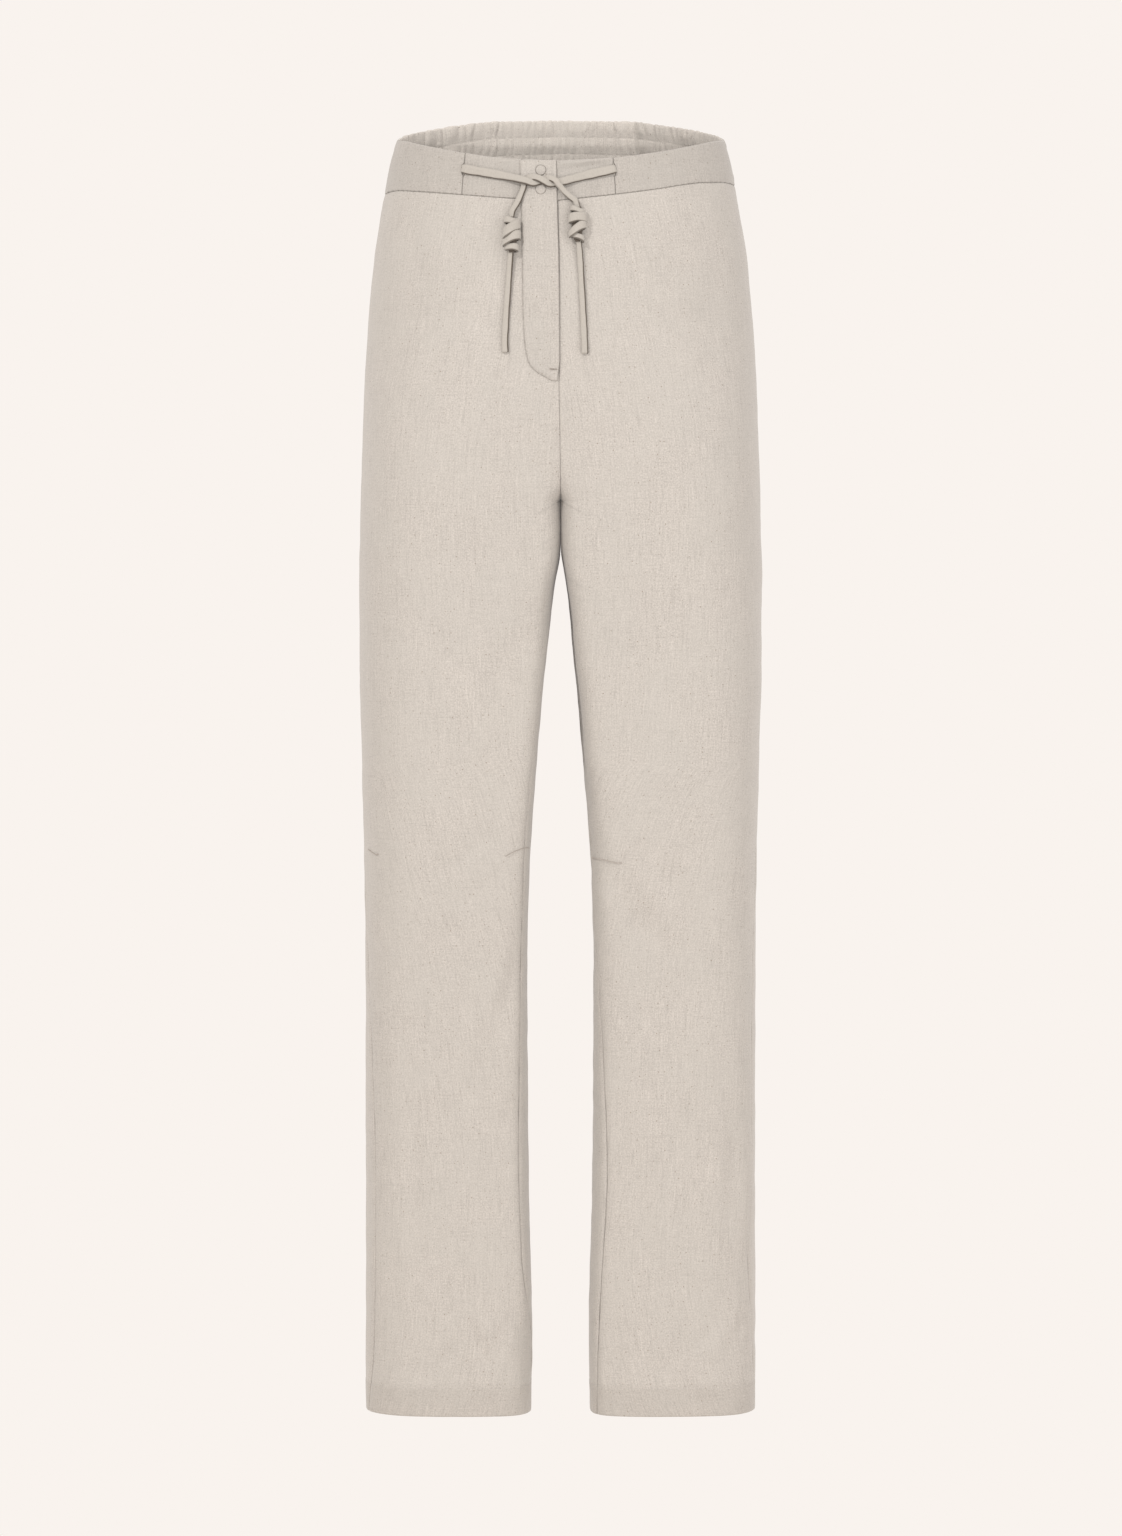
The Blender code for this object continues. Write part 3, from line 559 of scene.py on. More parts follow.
def shell(node, ending, place, normal, thickness, edges, radius, coords, material, inward=None):
    """A closed sheet of cloth in place of a solid, whose faces round off at the edges over the radius."""
    inward = -normal if inward is None else inward
    edge = nearest(*edges)
    part = clip(1 - edge / radius, 0, 1)
    thickness = np.broadcast_to(thickness, edge.shape)[..., None]
    close = (1 - np.sqrt(1 - part ** 2 * 0.995))[..., None] * thickness / 2
    points = stack([place + inward * close, place + inward * (thickness - close)])
    index = arange(edge.size).reshape(edge.shape)
    border = concatenate([index[0], index[1:, -1], index[-1, -2::-1], index[-2::-1, 0]])
    rim = stack([border[:-1], border[1:], border[1:] + index.size, border[:-1] + index.size], -1)
    sheet = quads(index[:, :-1], index[:, 1:])
    faces = concatenate([sheet, sheet[:, ::-1] + index.size, rim])
    i, j = array(edge.shape) // 2
    turned = np.cross(place[i + 1, j] - place[i, j], place[i, j + 1] - place[i, j])
    if turned.dot(normal[i, j]) < 0:
        faces = faces[:, ::-1]
    return piece(node + ending, points, faces, stack([coords, coords]), material, [node])


def shares(length, step):
    """Shares of a length, closer together at its ends."""
    middle = length - 2 * BAND_EDGE[-1]
    count = max(1, round(middle / step))
    inside = BAND_EDGE[-1] + middle * arange(1, count) / count
    return concatenate([BAND_EDGE, inside, (length - BAND_EDGE)[::-1]]) / length


def waves(u, v, seed, longest=70.0, shortest=12.0, count=26):
    """Soft unevenness of about unit size."""
    random = np.random.default_rng(seed)
    total = np.zeros(np.broadcast(u, v).shape)
    for _ in range(count):
        length = shortest * (longest / shortest) ** random.random()
        turn, phase = random.uniform(0, pi), random.uniform(0, 2 * pi)
        size = (length / longest) ** 0.6
        total += size * sin(2 * pi * (u * cos(turn) + v * sin(turn)) / length + phase)
    return total / math.sqrt(count / 4)


# ---- folds, creases and gathers

def folds(way, drop, side, face):
    """The soft folds' depth at each point of a panel."""
    depth = np.zeros_like(drop)
    for fold_side, fold_face, at, middle, half_width, half_height, deep in FOLDS:
        if (fold_side, fold_face) == (side, face):
            depth += deep * bell(way, at, half_width / PANEL_WIDTH) * bell(drop, middle, half_height)
    return depth


def crease_frame(x, drop, at, middle, slant, half_length, half_width):
    """Ways along and across a crease, in its half sizes."""
    sine, cosine = math.sin(math.radians(slant)), math.cos(math.radians(slant))
    x, drop = x - at, drop - middle
    return (drop * cosine + x * sine) / half_length, (x * cosine - drop * sine) / half_width


def crease_depth(x, drop, face):
    """A panel's creases, each a soft trough or ridge with a lower one beside it."""
    depth = np.zeros_like(drop)
    first = face * len(CREASES[FRONT])
    for number, (at, middle, slant, bend, half_length, half_width, deep) in enumerate(CREASES[face], first):
        along, across = crease_frame(x, drop, at, middle, slant, half_length, half_width)
        across = across + bend * half_length / half_width * (along ** 2 - 0.3) + 0.25 * sin(2.6 * along + number)
        uneven = 1 + 0.3 * sin(3.7 * along + 2.1 * number)
        line = bell(across, 0, clip(1 + 0.35 * along, 0.5, 1.6)) - 0.42 * bell(across, 1.9, 1.15)
        depth += deep * uneven * line * bell(along, 0, 1)
    return depth


def short_creases(x, drop, rows, beside):
    """Short straight creases, each with a share of its depth beside it."""
    depth = 0
    for at, middle, turn, half_length, half_width, deep in rows:
        along, across = crease_frame(x, drop, at, middle, 90 - turn, half_length, half_width)
        depth += deep * bell(along, 0, 1) * (bell(across, 0, 1) - beside * bell(across, -1.8, 1.1))
    return depth


def gather_edges(share):
    """The ways at which the casing's creases lie, at a share of its height, and each gather's size."""
    random = np.random.default_rng(11)
    ways, pitches = [], []
    for (start, count), (end, _) in zip(GATHERS, GATHERS[1:]):
        pitch = (end - start) / count
        ways.extend(start + pitch * arange(count))
        pitches.extend([pitch] * count)
    inside = array(pitches + pitches[-1:])
    inside[0] = inside[-1] = 0
    ways = array(ways + [1.0])
    ways = ways + random.uniform(-0.2, 0.2, len(ways)) * inside
    drift = random.uniform(-0.34, 0.34, (5, len(ways))) * inside
    offset = between(share, (0, 0.2, 0.45, 0.75, 1), drift)
    return ways + offset, random.uniform(0.55, 1.25, len(pitches))


def gathers(way, share):
    """How far the casing puffs out, from 0 in a crease to about 1."""
    ways, size = gather_edges(share)
    low = clip(np.searchsorted(ways, way, side="right") - 1, 0, len(size) - 1)
    t = ramp(way, ways[low], ways[low + 1] - ways[low])
    lopsided = t ** (0.8 + 0.4 * (size[low] - 0.55))
    return size[low] * sin(pi * lopsided) ** 0.6


def band_way(bearing):
    """The way round the back, from the wearer's right side seam to the left one."""
    return (-90 - where(bearing > 0, bearing - 360, bearing)) / 180


# ---- leg panels

def panel_rows():
    """Drops at the side seam and at the inner edge."""
    beside_stitch = array([0.4, 1.2, 2.2, 3.6, 5.5])
    side = concatenate([
        WAIST_DROP + EDGE_STEPS[:-1],
        *(arange(*rows) for rows in ROW_SPACING),
        HEM_STITCH - beside_stitch, HEM_STITCH + beside_stitch, [HEM_STITCH + 8.5],
        HEM_DROP - EDGE_STEPS,
    ])
    side = np.unique(np.round(side, 3))
    return side[:, None], eased(PANEL_ROWS, side)


def panel_grid(side, face, step):
    """Ways, drops, lengths and drops at the side over a panel's grid."""
    side_drop, inner_drop = panel_rows()
    near, count = EDGE_STEPS[-1], len(EDGE_STEPS)
    inner_part = linspace(0, 1, THIGH_COLUMNS + 1)[1:]
    outer_part = linspace(0, 1, round(170 / step) + 1)[1:-1]
    columns = 2 * count + len(inner_part) + len(outer_part)
    way = across = np.tile(linspace(0, 1, columns), (len(side_drop), 1))
    for _ in range(3):
        drop = side_drop + (inner_drop - side_drop) * (1 - across) ** 2
        seam = waist_seam(bearing_of(panel_angles(way, 0 * drop + WAIST_DROP, side, face)), side) + SEAM_GAP
        follow = ramp(drop, LEVEL_DROP, WAIST_DROP - LEVEL_DROP)
        drop = drop + (seam - WAIST_DROP) * follow ** SEAM_FOLLOW
        length = arc(drop, side, face)[2][..., -1]
        _, x, run = arc(drop[:, :1], side, face, drop[:, -1:])
        turned = np.minimum((x < x.min(-1, keepdims=True) + CORNER).sum(-1) + 1, ARC_STEPS - 1)[..., None]
        corner = maximum(np.take_along_axis(run, turned, -1)[..., 0], near + 2)
        ahead = concatenate([
            EDGE_STEPS + 0 * corner,
            near + (corner - near) * inner_part,
            corner + (length[:, -count - len(outer_part):-count] - near - corner) * outer_part,
            length[:, -count:] - EDGE_STEPS[::-1]], axis=1)
        way = ahead / length
        x = Lobe(drop).plan(panel_angles(clip(way, 0, 1), drop, side, face))[0]
        across = clip(x / x[:, -1:], 0, 1)
    return way, drop, length, side_drop


def build_panel(side, face, material, step):
    """A leg panel from the waist seam to the hem."""
    word = "right" if side == RIGHT else "left"
    seed = 40 + 7 * face + side
    way, drop, length, side_drop = panel_grid(side, face, step)
    above = drop[:, :1] < CROTCH_DROP
    from_inner, from_side, from_top = way * length, (1 - way) * length, side_drop - WAIST_DROP
    way = clip(way, where(above, 0, SEAM_GAP / length), 1 - SEAM_GAP / length)
    angles = panel_angles(way, drop, side, face)
    place, normal = surface(angles, drop, side)
    x = place[..., 0]
    depth = folds(way, drop, side, face) * eased(FOLDS_BEGIN, side_drop)[..., 0] - 0.3
    small = crease_depth(x, drop, face) + 0.16 * waves(x, drop, seed)
    if face == FRONT:
        # the fly lies flat on the wearer's right
        small = small * (1 - 0.85 * ramp(x, -40, 5) * ramp(x, 5, -5) * ramp(drop, 214, -12))
    depth += small * ramp(from_top, 0, 25)
    # each seam turns the cloth in, with its allowances pressed open beside it
    uneven = 1 + 0.35 * sin(drop / 7.3 + 3 * side) * sin(drop / 17.0 + face)
    for away, deep in ((from_inner, where(above, 0.3, 0.6)), (from_side, 0.6)):
        depth += uneven * (0.2 * bell(away, 5.5, 2.6) - deep * fall(away, 0.9))
    depth -= 0.5 * fall(from_top, 1.2)
    depth += 0.12 * waves(x, drop, seed + 1, 22, 7) * fall(from_top, 14)
    if face == BACK:
        # the casing's gathers run out in the cloth below it
        back_way = band_way((side * bearing_of(angles) + 180) % 360 - 180)
        depth += (1.1 * gathers(back_way, 1.0) - 0.5) * fall(from_top, 26) * ramp(from_top, 0, 2)
        longer = sin(18 * pi * back_way + 0.6 * sin(drop / 30))
        depth += 0.5 * longer * fall(from_top, 75) * ramp(from_top, 0, 12)
    # the hem: a row of stitches draws the cloth in and puckers it
    run = from_inner + (0 if side == RIGHT else 31)
    stitch = drop - HEM_STITCH
    pucker = sin(run / 1.9 + 1.7 * sin(run / 6.1)) + sin(run / 4.3 + seed)
    depth += 0.13 * pucker * fall(np.abs(stitch), 6.5) - 0.42 * bell(stitch, 0, 1)
    depth += 0.2 * ramp(stitch, -1, 2) + 0.3 * sin(run / 15 + seed) * ramp(drop, 1030, 33)
    # at the centre seams both legs' cloth meets in one plane
    meet = fall(from_inner, 2.5) * above
    push = normal * depth[..., None]
    push[..., 0] *= 1 - meet
    outer = place + push
    flat = normal * (0, 1, 1)
    size = maximum(np.linalg.norm(flat, axis=-1, keepdims=True), 1e-6)
    mitred = -flat / (size * maximum(size, 0.7))
    inward = -normal + (mitred + normal) * meet[..., None]
    # just under the crotch the inner thighs touch
    middle = lean(drop, outer[..., 0], WIDEST) * (outer[..., 1] < 0)
    apart = side * (outer[..., 0] - middle)
    touch = ramp(drop, 348, -10) * ramp(drop, 296, 6) * ramp(apart, 2.6, -1.4)
    outer[..., 0] = middle + side * (apart + (0.004 - apart) * touch)
    # the hem's cloth is double
    thickness = 0.9 + 1.2 * ramp(stitch, -0.6, 1.2)
    radius = 0.55 + 0.6 * ramp(drop, 1050, 8)
    edges = from_inner, from_side, from_top, HEM_DROP - side_drop
    coords = pair(side * (1 - way) * length + side * 300 + face * 700, drop)
    thing = shell(("front_", "back_")[face] + word, "_panel", outer, normal, thickness, edges, radius,
                  coords, material, inward)
    # painted shade along the seams, most marked at the inseam of the wearer's right leg
    low = ramp(drop, 560, 60)
    inseam = (0.15 + (0.85 if side == RIGHT else 0.45) * low) * where(above, 0.35, 1)
    seam = inseam * ramp(from_inner, 1, -0.8) + (0.2 + 0.3 * low) * ramp(from_side, 0.72, -0.6)
    seam = seam * (0.8 + 0.3 * waves(x, drop, seed + 3, 40, 5)) * (1 if face == FRONT else 0.5)
    mark(thing, "painted_shade", clip([seam, seam], 0, 1))


# ---- waistband, fly and snaps

def build_front_band(name, start, end, slot_side, slot_at_start, material, seed):
    """A piece of the front band between two bearings, with half of a slot in one of its edges."""
    length = abs(end - start) / 180 * pi * BAND_RADIUS
    along, down = shares(length, 2.2), shares(BAND_HEIGHT, 1.6)
    bearing = np.abs(start if slot_at_start else end)
    top, low = eased(BAND_EDGES, bearing)[0], waist_seam(bearing, slot_side)
    upper, lower = ((drop - top) / (low - top) for drop in SLOTS[slot_side][1:])
    in_slot = ramp(down, upper - 0.035, lower - upper + 0.07)
    opening = 0.04 + 1.35 * np.sqrt(sin(pi * in_slot).clip(0, 1))
    degree = 180 / pi / SLOT_RADIUS
    first = start + where(slot_at_start, opening, SEAM_GAP) * degree
    last = end - where(slot_at_start, SEAM_GAP, opening) * degree
    spots = first[:, None] + (last - first)[:, None] * along
    along, share = np.meshgrid(along, down)
    place, normal = in_band(spots, share)
    x, drop = place[..., 0], ORIGIN_DROP - place[..., 2]
    from_top, from_low = share * BAND_HEIGHT, (1 - share) * BAND_HEIGHT
    from_start, from_end = along * length, (1 - along) * length
    depth = 0.10 * waves(x, drop, seed, 45, 10)
    for away in (from_start, from_end):
        depth += 0.15 * bell(away, 4.5, 2.2) - 0.2 * fall(away, 0.6)
    depth += 0.25 * bell(from_top, 3.5, 2.6) - 0.35 * fall(from_low, 0.8)
    depth += 0.10 * sin(x / 2.3 + 1.5 * sin(x / 7)) * fall(from_low, 4)
    depth += short_creases(x, drop, BAND_CREASES, 0.45)
    under_fly = ramp(x, -37, 4) * ramp(x, 0, -3)
    depth = np.minimum(depth, 0.2) * under_fly + depth * (1 - under_fly)
    thing = shell(name, "_cloth", place + normal * depth[..., None], normal, 2.0,
                  (from_top, from_low, from_start, from_end), where(from_top < 5, 1.5, 0.55),
                  pair(spots * 2.05 + 900, drop + 60), material)
    # the shade of its seams, broken where the stitches pull, and of the slot's mouth
    broken = clip(0.55 + 0.9 * sin(x / 0.62 + sin(x / 5)), 0.1, 1)
    mouth = where((share > upper - 0.03) & (share < lower + 0.03), 0.85, 0.30)
    ends = from_start if slot_at_start else from_end
    seam = maximum(0.75 * broken * ramp(from_low, 0.84, -0.7), mouth * ramp(ends, 0.77, -0.7))
    mark(thing, "painted_shade", [seam, seam])


def build_back_band(name, material):
    """The elastic casing round the back, puffed between its creases."""
    beside = array([0.25, 0.7, 1.3, 2.2])
    rows = np.unique(concatenate([
        BAND_EDGE, arange(7.0, 44.0, 1.2), *(at + beside for at in CASING_STITCHES),
        *(at - beside for at in CASING_STITCHES), CASING_HEIGHT - BAND_EDGE]).round(2))
    columns, share = shares(CASING_LENGTH, 1.05), rows / CASING_HEIGHT
    way, from_top = np.meshgrid(columns, rows)
    down = from_top / CASING_HEIGHT
    place, normal = in_band(-90 - 0.03 - (180 - 0.06) * way, down)
    run = way * CASING_LENGTH
    from_low, from_side = CASING_HEIGHT - from_top, np.minimum(run, CASING_LENGTH - run)
    seam = np.abs(run - CASING_LENGTH * CASING_JOIN)
    calm = ramp(seam, 0, 4)
    stitched = sum(bell(from_top, at, 0.8) for at in CASING_STITCHES)
    uneven = 1 + 0.25 * waves(run, from_top, 5, 60, 14)
    swell = eased(CASING_ROWS, share)
    puff, inside = (stack([gathers(clip(columns + shift, 0, 1), at) for at in share])
                    for shift in (0, 0.0012))
    depth = (2.1 * puff * swell - 0.75) * uneven * calm - 0.35 * stitched - 0.7 * fall(seam, 1.2)
    depth -= 0.6 * fall(from_low, 1.3) + 0.5 * fall(from_side, 1.4)
    # the inner face puffs out between the same stitches, a little shifted
    thickness = 2.0 + depth + (2.3 * inside * swell * uneven - 0.7) * calm - 0.7 * fall(seam, 1.0) - 0.3 * stitched
    outer = place + normal * depth[..., None]
    outer[..., 2] += (0.9 * puff - 0.3) * fall(from_top, 5)
    thing = shell(name, "_casing", outer, normal, maximum(thickness, 0.9), (from_top, from_low, from_side),
                  where(from_top < 7, 1.9, 0.8), pair(run * 1.3 + 1500, from_top), material)
    # painted light on the casing's inner face, weaker past the join, where the inside lies in shade
    painted_light = where(way < CASING_JOIN, 1.0, 0.6)
    mark(thing, "inside", [0 * painted_light, painted_light])


def build_placket(name, material):
    """The fly's strip, sewn down along its left edge and foot, with a free right edge."""
    top, foot = PLACKET[0][0], PLACKET[-1][0]
    rows = np.unique(concatenate([
        top + BAND_EDGE, arange(top + 8, 176, 2.6), arange(176, foot - 6.2, 1.3), foot - BAND_EDGE]))
    left, right = eased(PLACKET, rows).T[..., None]
    across, drop = np.meshgrid(shares(PLACKET_WIDTH, 1.5), rows)
    x = left + (right - left) * across
    from_left, from_right = across * (right - left), (1 - across) * (right - left)
    from_top, from_foot = drop - top, foot - drop
    # how far it is to the curved foot's stitched edge
    spot, foot_edge = stack([x, drop], -1), []
    curve = array([(row[1], row[0]) for row in PLACKET[3:]] + [PLACKET_TOE])
    for start, span in zip(curve, np.diff(curve, axis=0)):
        t = clip((spot - start) @ span / span.dot(span), 0, 1)
        foot_edge.append(np.linalg.norm(spot - start - t[..., None] * span, axis=-1))
    sewn = nearest(from_left, from_foot, *foot_edge)
    lift = 0.45 + ramp(sewn, 0, 1.6) ** 0.5 + 0.35 * bell(sewn, 3.2, 1.7) - 0.30 * bell(sewn, 5.9, 0.7)
    lift += 0.55 * bell(from_right, 1.6, 1.7) * ramp(from_foot, 0, 20)
    lift += 0.12 * waves(x, drop, 71, 50, 9)
    lift += 0.28 * bell(drop, 50.0, 3.2) - 0.3 * bell(drop, 54.5, 2.2) + 0.18 * bell(drop, 60.0, 3.5)
    lift = maximum(lift + short_creases(x, drop, FLY_CREASES, 0), 0.75)
    place, normal = front(x, drop)
    thing = shell(name, "_cloth", place + normal * lift[..., None], normal, lift - 0.12,
                  (from_left, from_right, from_top, from_foot), 0.9, pair(x + 2200, drop + 300), material)
    # stitches along the sewn edge, and the shade of the free one
    seam = 0.6 * clip(0.5 + 0.9 * sin(drop / 0.55), 0.1, 1) * ramp(from_left, 0.72, -0.6)
    seam = maximum(seam, 0.75 * ramp(from_right, 0.72, -0.6) * ramp(from_foot, 0, 4))
    mark(thing, "painted_shade", [seam, seam])


def build_snap(name, x, drop, material):
    """A snap's cap under the cloth: a low dome with a rolled rim."""
    turn = circle(56)
    radius, height, shade = array(CAP_RINGS).T[..., None]
    radius = radius * (1 + 0.012 * sin(3 * turn + x) + 0.01 * sin(5 * turn + drop))
    across, down = x + radius * cos(turn), drop + radius * sin(turn)
    thing = piece(name + "_cap", on_front(across, down, 1.35 + height), ring_faces(len(CAP_RINGS), len(turn)),
                  pair(across + 2600, down), material, [name])
    # painted shade on the rolled rim's outer rings
    mark(thing, "painted_shade", shade + 0 * turn)


# ---- drawstring

def smooth_route(points, step):
    """Points about a step apart on a smooth curve through a route's own."""
    run = run_along(points)
    at = linspace(0, run[-1], max(3, round(run[-1] / step) + 1))
    return hermite(run, points, np.gradient(points, run, axis=0), at)


def tape(name, line, facing, width, thickness, material, seed, closed=False, nodes=(), square=2.6):
    """A soft flat tape along a line, its broad side facing the given way."""
    turn = circle(TAPE_SIDES)
    ahead = unit(np.roll(line, -1, axis=0) - np.roll(line, 1, axis=0) if closed else np.gradient(line, axis=0))
    facing = unit(facing - (facing * ahead).sum(1)[:, None] * ahead)
    aside = np.cross(ahead, facing)
    run = run_along(line)
    if not closed:
        roll = (0.10 * sin(run / 13 + seed) + 0.05 * sin(run / 5.3 + 2 * seed))[:, None]
        facing, aside = facing * cos(roll) + aside * sin(roll), aside * cos(roll) - facing * sin(roll)
    width = width * (1 + 0.03 * sin(run / 4.1 + seed) + 0.02 * sin(run / 1.7))
    thickness = thickness * (1 + 0.05 * sin(run / 3.3 + 3 * seed))
    across, deep = (np.sign(wave) * np.abs(wave) ** (2 / square) for wave in (cos(turn), sin(turn)))
    deep = deep * (1 - 0.10 * bell(across, 0, 0.25))
    if not closed:
        # the ends round off
        close = np.sqrt(1 - (1 - ramp(nearest(run, run[-1] - run), 0, 1.1)) ** 2 * 0.96)
        width, thickness = width * (0.82 + 0.18 * close), thickness * close
    points = (line[:, None] + aside[:, None] * across[:, None] * width[:, None, None] / 2
              + facing[:, None] * deep[:, None] * thickness[:, None, None] / 2)
    coords = pair(run[:, None] + 37 * seed, arange(TAPE_SIDES) * TAPE_GIRTH / TAPE_SIDES)
    thing = piece(name, points, ring_faces(len(line), TAPE_SIDES, closed), coords, material, nodes)
    # painted shadow on the tape's flanks and underside, deepest on its lower side and, where it runs down, on its
    # side towards +X, away from the key light
    flank = where(deep < 0, 1, ramp((1 - np.abs(across)) * width[:, None] / 2, 1.2, -0.4))
    away = aside[:, None] * np.sign(across)[:, None]
    if closed:
        painted_shade = clip(0.25 - 0.7 * away[..., 2], 0.1, 0.9)
    else:
        painted_shade = clip(0.25 - 1.3 * away[..., 2] + 1.1 * away[..., 0] * np.abs(ahead[:, None, 2]), 0.05, 1)
    mark(thing, "painted_shade", flank * painted_shade)
    return thing


def cord_line(entry, cord, tail):
    """The middle of one tape, the way it faces, its width and its thickness."""
    x, drop, lift = array(entry + cord + tail, float).T
    place, normal = front(x, drop)
    points = place + normal * lift[:, None]
    line, run = smooth_route(points, 1.0), run_along(points)
    at = linspace(0, run[-1], len(line))
    knot = run[len(entry + cord) - 1]
    width = np.interp(at, [0, 3, 9, 24, knot - 34, knot - 4, knot + 34, run[-1]],
                      [6.2, 6.6, 8.0, 7.8, 5.3, 4.9, 5.0, 5.7])
    thickness = np.interp(at, [0, 6, 26, knot - 34, run[-1]], [1.9, 2.5, 2.5, 2.2, 2.3])
    return line, between(at, run, normal), width, thickness


def build_knot(name, material):
    """A stopper knot: tape wound round itself in slanting wraps over a filled core."""
    x, top, lift, height = KNOTS[name]
    part, turn = linspace(0, 1, 15)[:, None], circle(32)
    size = sin(pi * (0.06 + 0.88 * part)) ** 0.55
    points = on_front(x + 4.6 * size * cos(turn), top + part * height, lift + 3.1 * size * sin(turn))
    core = piece(name + "_core", points, ring_faces(len(part), len(turn)),
                 pair(turn * 5 + 80, part * height + 3000), material, [name])
    # the core is painted wholly in shade, as it shows only in the dark gaps between the wraps
    mark(core, "painted_shade", 1 + 0 * part * turn)
    things, turn = [core], circle(84)
    for number, (down, slope, wide, thick, width, tip, thickness) in enumerate(WRAPS[name]):
        across = wide * cos(turn)
        down_at = top + down - slope * across + 0.5 * sin(2 * turn + number)
        line = on_front(x + across, down_at, lift + thick * sin(turn))
        middle = on_front(x + 0.35 * across, down_at + tip * sin(turn), lift + 0.35 * thick * sin(turn))
        wide_at = width * (1 + 0.08 * sin(turn + number) + 0.05 * sin(3 * turn))
        things.append(tape(f"{name}_wrap_{number + 1}", line, line - middle, wide_at, thickness, material,
                           3 + number, closed=True, square=2.3))
    return things


# ---- stitches

def threads(name, places, lift, pitch, length, radius, sink, uneven, seed, material):
    """A row of short stitches over the front, through places of X and drop."""
    place, normal = front(*smooth_route(array(places, float), 0.5).T)
    line = place + normal * lift
    random = np.random.default_rng(seed)
    run = run_along(line)
    starts = arange(0.5, run[-1] - length - 0.5, pitch)
    starts = starts + random.uniform(-uneven, uneven, len(starts)) * pitch
    steps, turn = linspace(0, 1, 6), circle(6)
    at = starts[:, None] + length * steps
    middle, face = between(at, run, line), unit(between(at, run, normal))
    aside = np.cross(unit(np.gradient(middle, axis=1)), face)
    arch = sin(pi * (0.08 + 0.84 * steps)) ** 0.6
    middle = middle + face * (radius * (1.5 * arch[:, None] - 1.0) - sink)
    size = radius * (0.35 + 0.65 * sin(pi * (0.04 + 0.92 * steps)) ** 0.5)
    ring = aside[:, :, None] * cos(turn)[:, None] + face[:, :, None] * sin(turn)[:, None]
    points = middle[:, :, None] + ring * size[:, None, None]
    faces = ring_faces(len(steps), len(turn))
    faces = concatenate([faces + first * steps.size * turn.size for first in range(len(starts))])
    return piece(name, points, faces, pair(points[..., 0], points[..., 2]), material)


# ---- materials

def set_inputs(node, values):
    for key, value in values.items():
        node.inputs[key].default_value = value


def times(colour, *factors):
    return tuple(float(value) for value in np.multiply(colour, factors))


class Cloth:
    """Builds a woven material's nodes on the map of cloth lengths."""

    def __init__(self, name):
        self.material = bpy.data.materials.new(name)
        self.material.use_nodes = True
        self.tree = self.material.node_tree
        self.shader = self.tree.nodes["Principled BSDF"]
        self.coords = self.node("UVMap", {}, uv_map="cloth")

    def node(self, kind, inputs, output=0, **settings):
        made = self.tree.nodes.new("ShaderNode" + kind)
        for key, value in settings.items():
            setattr(made, key, value)
        for key, value in inputs.items():
            if isinstance(value, bpy.types.NodeSocket):
                self.tree.links.new(value, made.inputs[key])
            else:
                set_inputs(made, {key: value})
        return made.outputs[output]

    def weighed(self, *parts):
        """The sum of values, each times its weight."""
        total = 0.0
        for value, weight in parts:
            total = self.node("Math", {0: value, 1: weight, 2: total}, operation="MULTIPLY_ADD")
        return total

    def mix(self, share, first, second, blend="MIX"):
        """Two colours mixed; a plain one is three numbers."""
        first, second = (c if isinstance(c, bpy.types.NodeSocket) else (*c, 1) for c in (first, second))
        return self.node("Mix", {"Factor": share, "A": first, "B": second}, 2, data_type="RGBA", blend_type=blend)

    def marked(self, name):
        return self.node("Attribute", {}, 2, attribute_name=name)

    def grain(self, across, along, offset, detail=2.0, roughness=0.55):
        """Noise with this many features to the metre each way, from 0 to 1."""
        spot = self.node("Mapping", {"Vector": self.coords, "Location": (offset, offset * 0.7, 0),
                                     "Scale": (across, along, 1)})
        return self.node("TexNoise", {"Vector": spot, "Scale": 1.0, "Detail": detail, "Roughness": roughness},
                         noise_dimensions="2D")

    def spread(self, value, low, high):
        """Stretches a range of a value to run from 0 to 1."""
        return self.node("MapRange", {"Value": value, "From Min": low, "From Max": high}, clamp=True)


